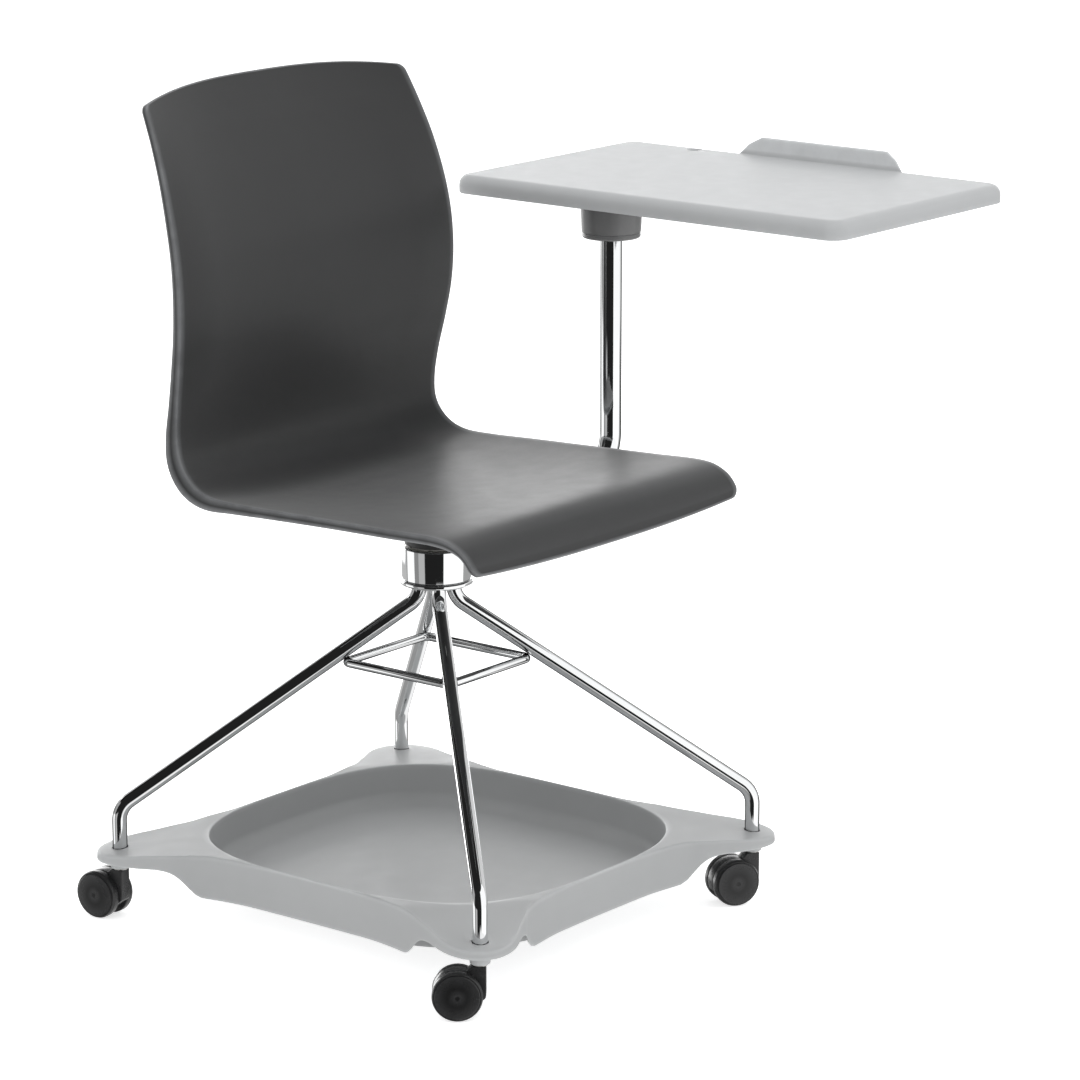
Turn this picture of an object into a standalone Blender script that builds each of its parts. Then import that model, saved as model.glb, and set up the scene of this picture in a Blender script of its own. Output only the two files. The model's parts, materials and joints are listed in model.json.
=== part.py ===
"""Student desk chair: a one-piece shell on a swivel hub, four rod legs standing on a storage tray
with four castors, and a writing tablet on an arm that turns about the same hub.

Metres, +Z up. The chair faces -Y, so its user's left is +X. Every dimension below is measured from
the hub axis, with the castors' lowest point at -ROW_Z; ROW_X, ROW_Y and ROW_Z then move the whole
chair so that the origin is on the floor under the middle of its outline."""

import math

import bmesh
import bpy
from mathutils import Matrix, Vector

# ---------------------------------------------------------------- driving dimensions
ROW_X, ROW_Y, ROW_Z = -0.1508, 0.0206, 0.0020

GAP = 0.0003  # left between neighbouring pieces

# legs and brace
LEG_X, LEG_Y = 0.2362, 0.2502  # where a leg stands
LEG_R = 0.0080
LEG_FOOT_Z = 0.0566
LEG_KNEE_Z = 0.1230  # corner of the lower bend
LEG_NECK_R, LEG_NECK_Z = 0.0180, 0.3500  # corner of the upper bend
LEG_TOP_Z = 0.3840
LEG_BEND = 0.027
BRACE_ROD_R = 0.00475
BRACE_CORNER_R = 0.0962  # from the hub axis
BRACE_BEND = 0.009

# hub
HUB_RING_R, HUB_RING_Z = 0.0394, (0.3657, 0.3717)
HUB_COVER_R, HUB_COVER_Z = 0.0372, (0.3720, 0.4070)
HUB_CORE_R, HUB_CORE_Z = 0.0345, (0.3720, 0.4072)
SPINDLE_R, SPINDLE_TAIL_R = 0.0090, 0.0055

# tray
BOWL_A, BOWL_B, BOWL_N = 0.2142, 0.2245, 3.1  # half sizes and squareness of the inner rim
RIM_Z = 0.0880
TRAY_BASE_Z, FLOOR_Z = 0.0400, 0.0436
WEB_T, SKIRT_T = 0.0036, 0.0030
EAR_SLOPE = 0.100
EAR_EDGE_Z = 0.0665  # lower edge of an ear's lip
BOSS_R, BOSS_Z = 0.0120, 0.0562

# castors
CASTOR_R, CASTOR_TRAIL = 0.0262, 0.0230
HOOD_R, HOOD_T = 0.0260, 0.0140
STEM_R = 0.0040
CASTOR_HEADING = {  # degrees that each castor trails towards
    "front_right": 128.3,
    "rear_right": 94.2,
    "front_left": 148.1,
    "rear_left": 112.0,
}
CORNERS = {
    "front_right": (-1, -1),
    "front_left": (1, -1),
    "rear_right": (-1, 1),
    "rear_left": (1, 1),
}

# seat shell: stations along the rim, from the front lip to the top of the back.
# y, z of the rim; half width there; how far the middle sits behind or below the rim;
# how far the edge rolls back; depth of the edge flange
SHELL_STATIONS = (
    (-0.2360, 0.4540, 0.2255, 0.000, 0.000, 0.0055),
    (-0.2290, 0.4680, 0.2268, 0.000, 0.000, 0.0060),
    (-0.2135, 0.4803, 0.2272, 0.000, 0.000, 0.0070),
    (-0.1860, 0.4868, 0.2266, 0.001, 0.000, 0.0080),
    (-0.1200, 0.4850, 0.2245, 0.005, 0.000, 0.0080),
    (-0.0400, 0.4828, 0.2213, 0.010, 0.000, 0.0082),
    (0.0400, 0.4804, 0.2188, 0.013, 0.000, 0.0090),
    (0.0950, 0.4788, 0.2160, 0.014, 0.000, 0.0105),
    (0.1340, 0.4802, 0.2136, 0.014, 0.000, 0.0145),
    (0.1580, 0.4905, 0.2122, 0.014, 0.000, 0.0175),
    (0.1728, 0.5095, 0.2115, 0.014, 0.000, 0.0175),
    (0.1762, 0.5350, 0.2128, 0.014, 0.001, 0.0150),
    (0.1725, 0.5680, 0.2155, 0.014, 0.002, 0.0120),
    (0.1655, 0.6050, 0.2195, 0.013, 0.004, 0.0115),
    (0.1595, 0.6450, 0.2225, 0.012, 0.006, 0.0110),
    (0.1580, 0.6850, 0.2236, 0.013, 0.007, 0.0100),
    (0.1610, 0.7250, 0.2232, 0.015, 0.007, 0.0090),
    (0.1690, 0.7650, 0.2212, 0.017, 0.005, 0.0080),
    (0.1820, 0.8080, 0.2172, 0.020, 0.003, 0.0068),
    (0.1985, 0.8480, 0.2122, 0.021, 0.001, 0.0058),
    (0.2150, 0.8820, 0.2075, 0.022, 0.000, 0.0052),
)
SHELL_T = 0.0052
BACK_ARCH = 0.0255  # how far the top edge rises in the middle
FRONT_BOW = 0.0062  # how far the front lip bows forward in the middle
BOSS_XY = 0.0550  # screw bosses under the seat
BOSS_TOP_Z = (0.4715, 0.4642)  # front pair, rear pair: inside the thickness of the shell

# seat plate and spindle
PLATE_HALF, PLATE_Z = 0.0720, (0.4520, 0.4560)

# arm
POST_X, POST_Y = 0.3448, 0.0293
TUBE_R, TUBE_WALL = 0.0121, 0.0020
ARM_Z, ARM_BEND = 0.4200, 0.0480
POST_TOP_Z = 0.7420
COLLAR_R = 0.0340

# tablet
TAB_X, TAB_Y = (0.2485, 0.5800), (-0.3420, 0.1810)
TAB_Z = (0.7373, 0.7580)
TAB_CORNER = 0.0210
TAB_PLATE_T, TAB_WALL = 0.0050, 0.0045
LIP_Y, LIP_H, LIP_T, LIP_SLOPE = (-0.2056, 0.0207), 0.0205, 0.0065, (0.0220, 0.0320)
HOLE_X, HOLE_Y, HOLE_R = 0.5620, 0.0740, 0.0085
HOUSING_Z = 0.6904

# ---------------------------------------------------------------- scene and helpers
for old in list(bpy.data.objects):
    bpy.data.objects.remove(old, do_unlink=True)
for old in list(bpy.data.meshes):
    bpy.data.meshes.remove(old)

chair = bpy.data.collections.new("student_desk_chair")
cutters = bpy.data.collections.new("cutters")
bpy.context.scene.collection.children.link(chair)
bpy.context.scene.collection.children.link(cutters)


def material(name, colour, metallic, roughness):
    made = bpy.data.materials.new(name)
    made.use_nodes = True
    shader = made.node_tree.nodes["Principled BSDF"]
    shader.inputs["Base Color"].default_value = (*colour, 1)
    shader.inputs["Metallic"].default_value = metallic
    shader.inputs["Roughness"].default_value = roughness
    made.diffuse_color = (*colour, 1)
    return made


FINISH = {
    "chrome": ((0.78, 0.79, 0.80), 1.0, 0.06),
    "charcoal": ((0.055, 0.056, 0.058), 0.0, 0.55),
    "pale": ((0.62, 0.63, 0.64), 0.0, 0.5),
    "midgrey": ((0.30, 0.31, 0.32), 0.0, 0.5),
    "black": ((0.015, 0.015, 0.016), 0.0, 0.4),
    "steel": ((0.45, 0.46, 0.47), 1.0, 0.35),
    "nylon": ((0.75, 0.74, 0.70), 0.0, 0.5),
}


def place(name, mesh, origin, finish, turn=0.0, smooth=40):
    """A node, its origin at `origin` from the hub axis."""
    obj = bpy.data.objects.new(name, mesh)
    obj.location = (origin[0] + ROW_X, origin[1] + ROW_Y, origin[2] + ROW_Z)
    obj.rotation_euler = (0, 0, turn)
    mesh.materials.append(material("mat_" + name, *FINISH[finish]))
    if smooth:
        mesh.shade_smooth()
        mesh.set_sharp_from_angle(angle=math.radians(smooth))
    chair.objects.link(obj)
    return obj


def cutter(name, mesh, origin=(0, 0, 0), turn=0.0):
    obj = bpy.data.objects.new(name, mesh)
    obj.location = (origin[0] + ROW_X, origin[1] + ROW_Y, origin[2] + ROW_Z)
    obj.rotation_euler = (0, 0, turn)
    obj.hide_render = True
    obj.display_type = "WIRE"
    cutters.objects.link(obj)
    return obj


def boolean(obj, other, operation="DIFFERENCE"):
    modifier = obj.modifiers.new(other.name, "BOOLEAN")
    modifier.operation = operation
    modifier.solver = "EXACT"
    modifier.object = other


def mesh_of(name, bm):
    bmesh.ops.remove_doubles(bm, verts=bm.verts, dist=1e-6)
    bmesh.ops.recalc_face_normals(bm, faces=bm.faces)
    mesh = bpy.data.meshes.new(name)
    bm.to_mesh(mesh)
    bm.free()
    return mesh


def turned(name, profile, steps=24, closed=False):
    """A solid of revolution about local Z. `profile` is (radius, z) pairs; a closed one is a ring."""
    bm = bmesh.new()
    points = [bm.verts.new((r, 0, z)) for r, z in profile]
    pairs = list(zip(points, points[1:]))
    if closed:
        pairs.append((points[-1], points[0]))
    edges = [bm.edges.new(pair) for pair in pairs]
    bmesh.ops.spin(
        bm,
        geom=points + edges,
        cent=(0, 0, 0),
        axis=(0, 0, 1),
        angle=2 * math.pi,
        steps=steps,
        use_merge=True,
    )
    return mesh_of(name, bm)


def ring(name, inner, outer, low, high, steps=24):
    profile = [(outer, high), (outer, low), (inner, low), (inner, high)]
    return turned(name, profile, steps, closed=True)


def disc(name, radius, low, high, steps=16):
    bm = bmesh.new()
    bmesh.ops.create_cone(
        bm,
        cap_ends=True,
        segments=steps,
        radius1=radius,
        radius2=radius,
        depth=high - low,
        matrix=Matrix.Translation((0, 0, (low + high) / 2)),
    )
    return mesh_of(name, bm)


def box(name, low, high):
    bm = bmesh.new()
    low, high = Vector(low), Vector(high)
    size = high - low
    matrix = Matrix.Translation((low + high) / 2) @ Matrix.Diagonal((*size, 1))
    bmesh.ops.create_cube(bm, size=1, matrix=matrix)
    return mesh_of(name, bm)


def slab(name, outline, low, high):
    """A flat outline in XY, extruded from low to high."""
    bm = bmesh.new()
    face = bm.faces.new([bm.verts.new((x, y, low)) for x, y in outline])
    grown = bmesh.ops.extrude_face_region(bm, geom=[face])
    moved = [v for v in grown["geom"] if isinstance(v, bmesh.types.BMVert)]
    bmesh.ops.translate(bm, verts=moved, vec=(0, 0, high - low))
    return mesh_of(name, bm)


def filleted(corners, radii, step=11.0):
    """A path of straight runs with each inner corner rounded to its radius."""
    corners = [Vector(c) for c in corners]
    path = [corners[0]]
    for before, at, after, radius in zip(corners, corners[1:], corners[2:], radii):
        come, go = (at - before).normalized(), (after - at).normalized()
        angle = come.angle(go)
        reach = radius * math.tan(angle / 2)
        start, end = at - come * reach, at + go * reach
        centre = at + (go - come).normalized() * (radius / math.cos(angle / 2))
        count = max(2, round(math.degrees(angle) / step))
        a, b = start - centre, end - centre
        for i in range(count + 1):
            t = i / count
            path.append(
                centre
                + (a * math.sin((1 - t) * angle) + b * math.sin(t * angle))
                / math.sin(angle)
            )
    return path + [corners[-1]]


def tube(name, path, radius, resolution, cyclic=False):
    """A round bar along a path, as a mesh."""
    curve = bpy.data.curves.new(name, "CURVE")
    curve.dimensions = "3D"
    line = curve.splines.new("POLY")
    line.points.add(len(path) - 1)
    for point, at in zip(line.points, path):
        point.co = (*at, 1)
    line.use_cyclic_u = cyclic
    curve.bevel_depth = radius
    curve.bevel_resolution = resolution
    curve.use_fill_caps = not cyclic
    helper = bpy.data.objects.new(name + "_path", curve)
    cutters.objects.link(helper)
    bpy.context.view_layer.update()
    graph = bpy.context.evaluated_depsgraph_get()
    mesh = bpy.data.meshes.new_from_object(helper.evaluated_get(graph))
    bpy.data.objects.remove(helper, do_unlink=True)
    bm = bmesh.new()
    bm.from_mesh(mesh)
    bpy.data.meshes.remove(mesh)
    return mesh_of(name, bm)


def smooth_between(rows, count):
    """Catmull-Rom through the rows, sampled evenly by row index at `count` points."""
    out = []
    last = len(rows) - 1
    for i in range(count):
        u = i / (count - 1) * last
        k = min(int(u), last - 1)
        t = u - k
        p0, p1 = rows[max(k - 1, 0)], rows[k]
        p2, p3 = rows[k + 1], rows[min(k + 2, last)]
        out.append(
            tuple(
                0.5
                * (
                    2 * b
                    + (c - a) * t
                    + (2 * a - 5 * b + 4 * c - d) * t * t
                    + (3 * b - a - 3 * c + d) * t**3
                )
                for a, b, c, d in zip(p0, p1, p2, p3)
            )
        )
    return out


# ---------------------------------------------------------------- legs and brace
leg_reach = math.hypot(LEG_X, LEG_Y)
leg_slope = (LEG_NECK_Z - LEG_KNEE_Z) / (leg_reach - LEG_NECK_R)
for corner, (sx, sy) in CORNERS.items():
    out = Vector((sx * LEG_X, sy * LEG_Y, 0)) / leg_reach
    foot = Vector((sx * LEG_X, sy * LEG_Y, 0))
    path = filleted(
        [
            Vector((0, 0, LEG_FOOT_Z)),
            Vector((0, 0, LEG_KNEE_Z)),
            out * (LEG_NECK_R - leg_reach) + Vector((0, 0, LEG_NECK_Z)),
            out * (LEG_NECK_R - leg_reach) + Vector((0, 0, LEG_TOP_Z)),
        ],
        (LEG_BEND, LEG_BEND),
    )
    leg = place("leg_" + corner, tube("leg_" + corner, path, LEG_R, 4), foot, "chrome")
    socket = disc("leg_socket_" + corner, STEM_R + GAP, LEG_FOOT_Z - 0.01, 0.0935, 12)
    boolean(leg, cutter("leg_socket_" + corner, socket, foot))

leg_z = LEG_KNEE_Z + leg_slope * (leg_reach - BRACE_CORNER_R)
brace_z = leg_z - (LEG_R + BRACE_ROD_R + GAP) * math.sqrt(1 + leg_slope**2)
bx = BRACE_CORNER_R * LEG_X / leg_reach
by = BRACE_CORNER_R * LEG_Y / leg_reach
# The bend cuts each corner short, so the corners of the path stand a little further out.
spare = BRACE_BEND * (math.sqrt(2) - 1)
bx, by = bx + spare * 0.7, by + spare * 0.7
loop = [(bx, by, 0), (-bx, by, 0), (-bx, -by, 0), (bx, -by, 0)]
start = ((bx - 0.03), by, 0)
path = filleted([start, *loop[1:], loop[0], start], [BRACE_BEND] * 4, 22)[:-1]
place(
    "brace_ring",
    tube("brace_ring", path, BRACE_ROD_R, 2, cyclic=True),
    (0, 0, brace_z),
    "chrome",
)

# ---------------------------------------------------------------- hub
hub = (0, 0, 0)
place("hub_bottom_ring", ring("hub_bottom_ring", 0.0275, HUB_RING_R, *HUB_RING_Z, 28), hub, "chrome")
place(
    "hub_cover",
    ring("hub_cover", HUB_CORE_R + GAP, HUB_COVER_R, *HUB_COVER_Z, 28),
    hub,
    "chrome",
)
core = turned(
    "hub_core",
    [
        (HUB_CORE_R, HUB_CORE_Z[1]),
        (HUB_CORE_R, HUB_CORE_Z[0]),
        (SPINDLE_TAIL_R + 0.0004, HUB_CORE_Z[0]),
        (SPINDLE_TAIL_R + 0.0004, 0.3870),
        (0.0130, 0.3870),
        (0.0130, HUB_CORE_Z[1]),
    ],
    24,
    closed=True,
)
core = place("hub_core", core, hub, "steel")
for corner, (sx, sy) in CORNERS.items():
    at = (sx * LEG_X / leg_reach * LEG_NECK_R, sy * LEG_Y / leg_reach * LEG_NECK_R, 0)
    hole = disc("hub_socket_" + corner, LEG_R + 2 * GAP, 0.36, LEG_TOP_Z + GAP, 12)
    boolean(core, cutter("hub_socket_" + corner, hole, at))
place(
    "hub_bush",
    ring("hub_bush", SPINDLE_R + GAP, 0.0127, 0.3874, 0.4072),
    hub,
    "nylon",
)
place(
    "thrust_washer_lower",
    ring("thrust_washer_lower", SPINDLE_R + GAP, 0.0300, 0.4075, 0.4090),
    hub,
    "nylon",
)

# ---------------------------------------------------------------- tray
def bowl_radius(angle):
    c, s = abs(math.cos(angle)), abs(math.sin(angle))
    return ((c / BOWL_A) ** BOWL_N + (s / BOWL_B) ** BOWL_N) ** (-1 / BOWL_N)


# One quarter of the outline, from the middle of the left side round the ear to the rear.
# `s` runs out along the diagonal through the leg and `p` across it.
EAR = ((0.265, 0.064), (0.290, 0.0545), (0.310, 0.0470), (0.333, 0.0395), (0.351, 0.0300), (0.3645, 0.0165), (0.3690, 0.0))
SIDE_X = ((0.2156, 0.0), (0.2158, 0.045), (0.2166, 0.085), (0.2208, 0.1180))
SIDE_Y = ((0.0900, 0.2288), (0.0600, 0.2272), (0.0300, 0.2268), (0.0, 0.2266))
ex, ey = LEG_X / leg_reach, LEG_Y / leg_reach


def from_ear(s, p):
    return (s * ex + p * ey, s * ey - p * ex)


quarter = [*SIDE_X]
quarter += [from_ear(s, p) for s, p in EAR]
quarter += [from_ear(s, -p) for s, p in reversed(EAR[:-1])]
quarter += [*SIDE_Y]
quarter = smooth_between(quarter, 24)
outline = []
for sx, sy, flip in ((1, 1, 0), (-1, 1, 1), (-1, -1, 0), (1, -1, 1)):
    part = [(sx * x, sy * y) for x, y in quarter]
    outline += (part[::-1] if flip else part)[:-1]


def web_z(x, y):
    """Height of the top of an ear: level with the rim, then falling away towards its tip."""
    s = abs(x) * ex + abs(y) * ey
    return RIM_Z - EAR_SLOPE * max(0.0, s - 0.250)


def rings_to_mesh(name, rings):
    """Closed solid from matching rings of points, capped at both ends."""
    bm = bmesh.new()
    rows = [[bm.verts.new(p) for p in points] for points in rings]
    count = len(rows[0])
    for a, b in zip(rows, rows[1:]):
        for i in range(count):
            j = (i + 1) % count
            bm.faces.new((a[i], a[j], b[j], b[i]))
    bm.faces.new(rows[0])
    bm.faces.new(rows[-1][::-1])
    return mesh_of(name, bm)


angles = [math.atan2(y, x) for x, y in outline]


def bowl_ring(scale, z, grow=0.0, pts=angles):
    return [
        (
            (bowl_radius(a) * scale + grow) * math.cos(a),
            (bowl_radius(a) * scale + grow) * math.sin(a),
            z,
        )
        for a in pts
    ]


tray = rings_to_mesh(
    "storage_tray",
    [
        [(x * 1.001, y * 1.001, TRAY_BASE_Z) for x, y in outline],
        [(x, y, web_z(x, y) - 0.0024) for x, y in outline],
        [(x * 0.9925, y * 0.9925, web_z(x, y)) for x, y in outline],
        bowl_ring(0.99, RIM_Z),
    ],
)
tray = place("storage_tray", tray, (0, 0, 0), "pale")
bowl_angles = [2 * math.pi * (i + 0.5) / 60 for i in range(60)]
bowl = rings_to_mesh(
    "bowl",
    [
        bowl_ring(s, z, 0, bowl_angles)
        for s, z in (
            (1.000, 0.0950),
            (0.998, 0.0870),
            (0.990, 0.0620),
            (0.982, 0.0530),
            (0.960, 0.0465),
            (0.915, 0.0440),
            (0.860, FLOOR_Z),
            (0.400, FLOOR_Z + 0.0012),
        )
    ],
)
boolean(tray, cutter("bowl", bowl))

# Under each ear the web is thin, with the skirt hanging from its edge and the bowl wall behind.
for corner, (sx, sy) in CORNERS.items():
    inner, outer = [], []
    fold = [q for q in quarter if 25.5 < math.degrees(math.atan2(q[1], q[0])) < 66.0]
    for x, y in fold:
        r = math.hypot(x, y)
        wall = bowl_radius(math.atan2(y, x)) + 0.0042
        inset = r - SKIRT_T * (1.35 if r < 0.30 else 1.1)
        inner.append((x / r * wall, y / r * wall))
        outer.append((x / r * inset, y / r * inset))
    loop = outer + inner[::-1]
    low = [(sx * x, sy * y, 0.020) for x, y in loop]
    high = [(sx * x, sy * y, web_z(x, y) - WEB_T) for x, y in loop]
    bm = bmesh.new()
    n, m = len(fold), len(loop)
    lo = [bm.verts.new(p) for p in low]
    hi = [bm.verts.new(p) for p in high]
    for i in range(m):
        j = (i + 1) % m
        bm.faces.new((lo[i], lo[j], hi[j], hi[i]))
    for i in range(n - 1):
        k = m - 1 - i
        bm.faces.new((lo[i], lo[k], lo[k - 1], lo[i + 1]))
        bm.faces.new((hi[i], hi[i + 1], hi[k - 1], hi[k]))
    boolean(tray, cutter("ear_pocket_" + corner, mesh_of("ear_pocket_" + corner, bm)))

    # The skirt's lower edge sweeps up to the ear's lip.
    sweep = ((0.2575, 0.0395), (0.264, 0.0425), (0.272, 0.0495), (0.281, 0.0582), (0.291, 0.0642), (0.304, 0.0666), (0.320, EAR_EDGE_Z + 0.0003), (0.400, EAR_EDGE_Z + 0.0003))
    profile = [(0.2575, 0.010), *sweep, (0.400, 0.010)]
    bm = bmesh.new()
    ux, uy = sx * ex, sy * ey
    sides = []
    for across in (-0.13, 0.13):
        sides.append([bm.verts.new((s * ux - across * uy, s * uy + across * ux, z)) for s, z in profile])
    count = len(profile)
    for i in range(count):
        j = (i + 1) % count
        bm.faces.new((sides[0][i], sides[0][j], sides[1][j], sides[1][i]))
    bm.faces.new(sides[0])
    bm.faces.new(sides[1][::-1])
    boolean(tray, cutter("ear_sweep_" + corner, mesh_of("ear_sweep_" + corner, bm)))

    foot = (sx * LEG_X, sy * LEG_Y, 0)
    boss = turned(
        "ear_boss_" + corner,
        [(0, 0.0770), (0.0135, 0.0770), (BOSS_R, 0.0620), (0.0105, BOSS_Z), (0, BOSS_Z)],
        18,
    )
    boolean(tray, cutter("ear_boss_" + corner, boss, foot), "UNION")
    hole = disc("ear_hole_" + corner, LEG_R + 0.0008, 0.04, 0.10, 16)
    boolean(tray, cutter("ear_hole_" + corner, hole, foot))

# ---------------------------------------------------------------- castors
WHEEL_STEPS = 20
tread = CASTOR_R / math.cos(math.pi / WHEEL_STEPS)  # the middle of a facet is at CASTOR_R
wheel_profile = [
    (0, 0.0112),
    (0.0205, 0.0106),
    (0.0246, 0.0090),
    (tread, 0.0062),
    (tread, 0.0),
    (0.0033, 0.0),
    (0.0033, 0.0082),
    (0, 0.0082),
]
for corner, (sx, sy) in CORNERS.items():
    foot = Vector((sx * LEG_X, sy * LEG_Y, 0))
    turn = math.radians(CASTOR_HEADING[corner])
    ahead = Vector((math.cos(turn), math.sin(turn), 0))
    side = Vector((-math.sin(turn), math.cos(turn), 0))
    axle_at = foot + ahead * CASTOR_TRAIL + Vector((0, 0, CASTOR_R - ROW_Z))

    stem = turned(
        "castor_stem_" + corner,
        [
            (0, 0.0930),
            (STEM_R - 0.0008, 0.0930),
            (STEM_R, 0.0915),
            (STEM_R, BOSS_Z - GAP),
            (0.0085, BOSS_Z - GAP),
            (0.0085, 0.0546),
            (STEM_R, 0.0546),
            (STEM_R, 0.0320),
            (0, 0.0320),
        ],
        12,
    )
    place("castor_stem_" + corner, stem, foot, "steel")

    # The hood is a plate between the wheels: upright at the stem, round over the wheels.
    hood = [(-0.0058, 0.0200), (-0.0064, 0.0260), (-0.0064, 0.0530), (-0.0056, 0.0543), (0.0080, 0.0543)]
    for i in range(13):
        a = math.radians(110 - i * (110 + 20) / 12)
        hood.append((CASTOR_TRAIL + HOOD_R * math.cos(a), CASTOR_R - ROW_Z + HOOD_R * math.sin(a)))
    hood += [(0.0420, 0.0110), (0.0245, 0.0070), (0.0080, 0.0090)]
    plate = slab("castor_hood_" + corner, hood, -HOOD_T / 2, HOOD_T / 2)
    # Drawn flat in XY, then stood up so that its thickness runs across the castor.
    plate.transform(Matrix.Rotation(math.pi / 2, 4, "X"))
    body = place("castor_hood_" + corner, plate, foot, "black", turn)
    bore = disc("stem_bore_" + corner, STEM_R + GAP, 0.0315, 0.06, 12)
    boolean(body, cutter("stem_bore_" + corner, bore, foot))
    across = disc("axle_bore_" + corner, 0.0033, -0.02, 0.02, 12)
    across.transform(Matrix.Rotation(math.pi / 2, 4, "X"))
    boolean(body, cutter("axle_bore_" + corner, across, axle_at, turn))

    axle = disc("castor_axle_" + corner, 0.0030, -0.0152, 0.0152, 12)
    axle.transform(Matrix.Rotation(math.pi / 2, 4, "X"))
    place("castor_axle_" + corner, axle, axle_at, "steel", turn)
    for which, sign in (("a", 1), ("b", -1)):
        name = f"castor_wheel_{which}_{corner}"
        mesh = turned(name, wheel_profile, WHEEL_STEPS)
        # Half a facet round, so that the wheel stands on a flat of its tread.
        mesh.transform(Matrix.Rotation(math.pi / WHEEL_STEPS, 4, "Z"))
        mesh.transform(Matrix.Rotation(-sign * math.pi / 2, 4, "X"))
        mesh.transform(Matrix.Translation((0, sign * (HOOD_T / 2 + GAP), 0)))
        place(name, mesh, axle_at, "black", turn)

# ---------------------------------------------------------------- seat shell
ROWS = 32
COLUMNS = (0.0, 0.28, 0.54, 0.76, 0.90, 0.955, 1.0)


def shell_point(station, before, after, v, top):
    """A point of the shell's upper face: `v` runs from the middle to either edge."""
    y, z, half, sag, roll, _ = station
    along = Vector((after[0] - before[0], after[1] - before[1])).normalized()
    under = Vector((along.y, -along.x))
    a = abs(v)
    ease = max(0.0, (a - 0.72) / 0.28)
    depth = sag * (1 - a**2.4) - roll * (1 - ease * ease)
    rise = BACK_ARCH * max(top, 0.0) * (1 - a**2.6) + FRONT_BOW * min(top, 0.0) * (1 - a**2.4)
    y += under.x * depth + along.x * rise
    z += under.y * depth + along.y * rise
    return (half * v, y, z)


stations = smooth_between(SHELL_STATIONS, ROWS)
bm = bmesh.new()
vs = [-c for c in reversed(COLUMNS[1:])] + list(COLUMNS)
grid = []
for i, station in enumerate(stations):
    before, after = stations[max(i - 1, 0)], stations[min(i + 1, ROWS - 1)]
    top = max(0.0, (station[1] - 0.76) / 0.122) ** 1.5 if i > ROWS // 2 else min(0.0, (i - 4) / 4)
    grid.append([bm.verts.new(shell_point(station, before, after, v, top)) for v in vs])
for a, b in zip(grid, grid[1:]):
    for i in range(len(vs) - 1):
        bm.faces.new((a[i], a[i + 1], b[i + 1], b[i]))
deep = {}
bm.verts.index_update()
for station, row in zip(stations, grid):
    for v, vert in zip(vs, row):
        edge = 1.0 if abs(v) > 0.97 else (0.9 if abs(v) > 0.93 else 0.0)
        depth = SHELL_T + (station[5] - SHELL_T) * edge
        deep[vert.index] = depth
mesh = bpy.data.meshes.new("seat_shell")
bmesh.ops.recalc_face_normals(bm, faces=bm.faces)
middle = min(bm.faces, key=lambda f: f.calc_center_median().xy.length)
if middle.normal.z < 0:
    bmesh.ops.reverse_faces(bm, faces=bm.faces)
bm.to_mesh(mesh)
bm.free()
shell = place("seat_shell", mesh, (0, 0, 0), "charcoal")
most = max(deep.values())
group = shell.vertex_groups.new(name="depth")
for index, depth in deep.items():
    group.add([index], depth / most, "REPLACE")
solid = shell.modifiers.new("thickness", "SOLIDIFY")
solid.thickness = most
solid.offset = -1
solid.vertex_group = "depth"
solid.use_even_offset = True

for n, (sx, sy) in enumerate(((1, 1), (-1, 1), (-1, -1), (1, -1)), 1):
    at = (sx * BOSS_XY, sy * BOSS_XY, 0)
    inside = BOSS_TOP_Z[0] if sy < 0 else BOSS_TOP_Z[1]
    boss = disc(f"seat_boss_{n}", 0.0100, PLATE_Z[1] + GAP, inside, 16)
    boolean(shell, cutter(f"seat_boss_{n}", boss, at), "UNION")
    hole = disc(f"seat_boss_hole_{n}", 0.0027, PLATE_Z[1] - 0.01, 0.4628, 10)
    boolean(shell, cutter(f"seat_boss_hole_{n}", hole, at))

# ---------------------------------------------------------------- seat plate, spindle, screws
h, c = PLATE_HALF, 0.012
octagon = [(h - c, -h), (h, -h + c), (h, h - c), (h - c, h), (-h + c, h), (-h, h - c), (-h, -h + c), (-h + c, -h)]
plate = place("seat_plate", slab("seat_plate", octagon, *PLATE_Z), (0, 0, 0), "black")
for n, (sx, sy) in enumerate(((1, 1), (-1, 1), (-1, -1), (1, -1)), 1):
    at = (sx * BOSS_XY, sy * BOSS_XY, 0)
    hole = disc(f"seat_plate_hole_{n}", 0.0032, 0.44, 0.47, 12)
    boolean(plate, cutter(f"seat_plate_hole_{n}", hole, at))
    screw = turned(
        f"seat_screw_{n}",
        [
            (0, 0.4625),
            (0.0020, 0.4625),
            (0.0024, 0.4619),
            (0.0024, PLATE_Z[0] - GAP),
            (0.0062, PLATE_Z[0] - GAP),
            (0.0058, 0.4485),
            (0.0040, 0.4478),
            (0, 0.4478),
        ],
        12,
    )
    place(f"seat_screw_{n}", screw, at, "steel")
place(
    "thrust_washer_upper",
    ring("thrust_washer_upper", SPINDLE_R + GAP, 0.0300, 0.4309, 0.4324),
    hub,
    "nylon",
)
place(
    "spindle_flange",
    ring("spindle_flange", SPINDLE_R + GAP, 0.0340, 0.4327, 0.4517, 28),
    hub,
    "black",
)
spindle = turned(
    "spindle",
    [
        (0, 0.4517),
        (SPINDLE_R, 0.4517),
        (SPINDLE_R, 0.3878),
        (SPINDLE_TAIL_R, 0.3872),
        (SPINDLE_TAIL_R, 0.3580),
        (0.0045, 0.3570),
        (0, 0.3570),
    ],
    20,
)
place("spindle", spindle, hub, "steel")
nut = disc("spindle_nut", 0.0093, 0.3620, 0.3710, 6)
nut = place("spindle_nut", nut, hub, "steel", smooth=0)
hole = disc("spindle_nut_hole", SPINDLE_TAIL_R + 0.0004, 0.35, 0.38, 20)
boolean(nut, cutter("spindle_nut_hole", hole))

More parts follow.
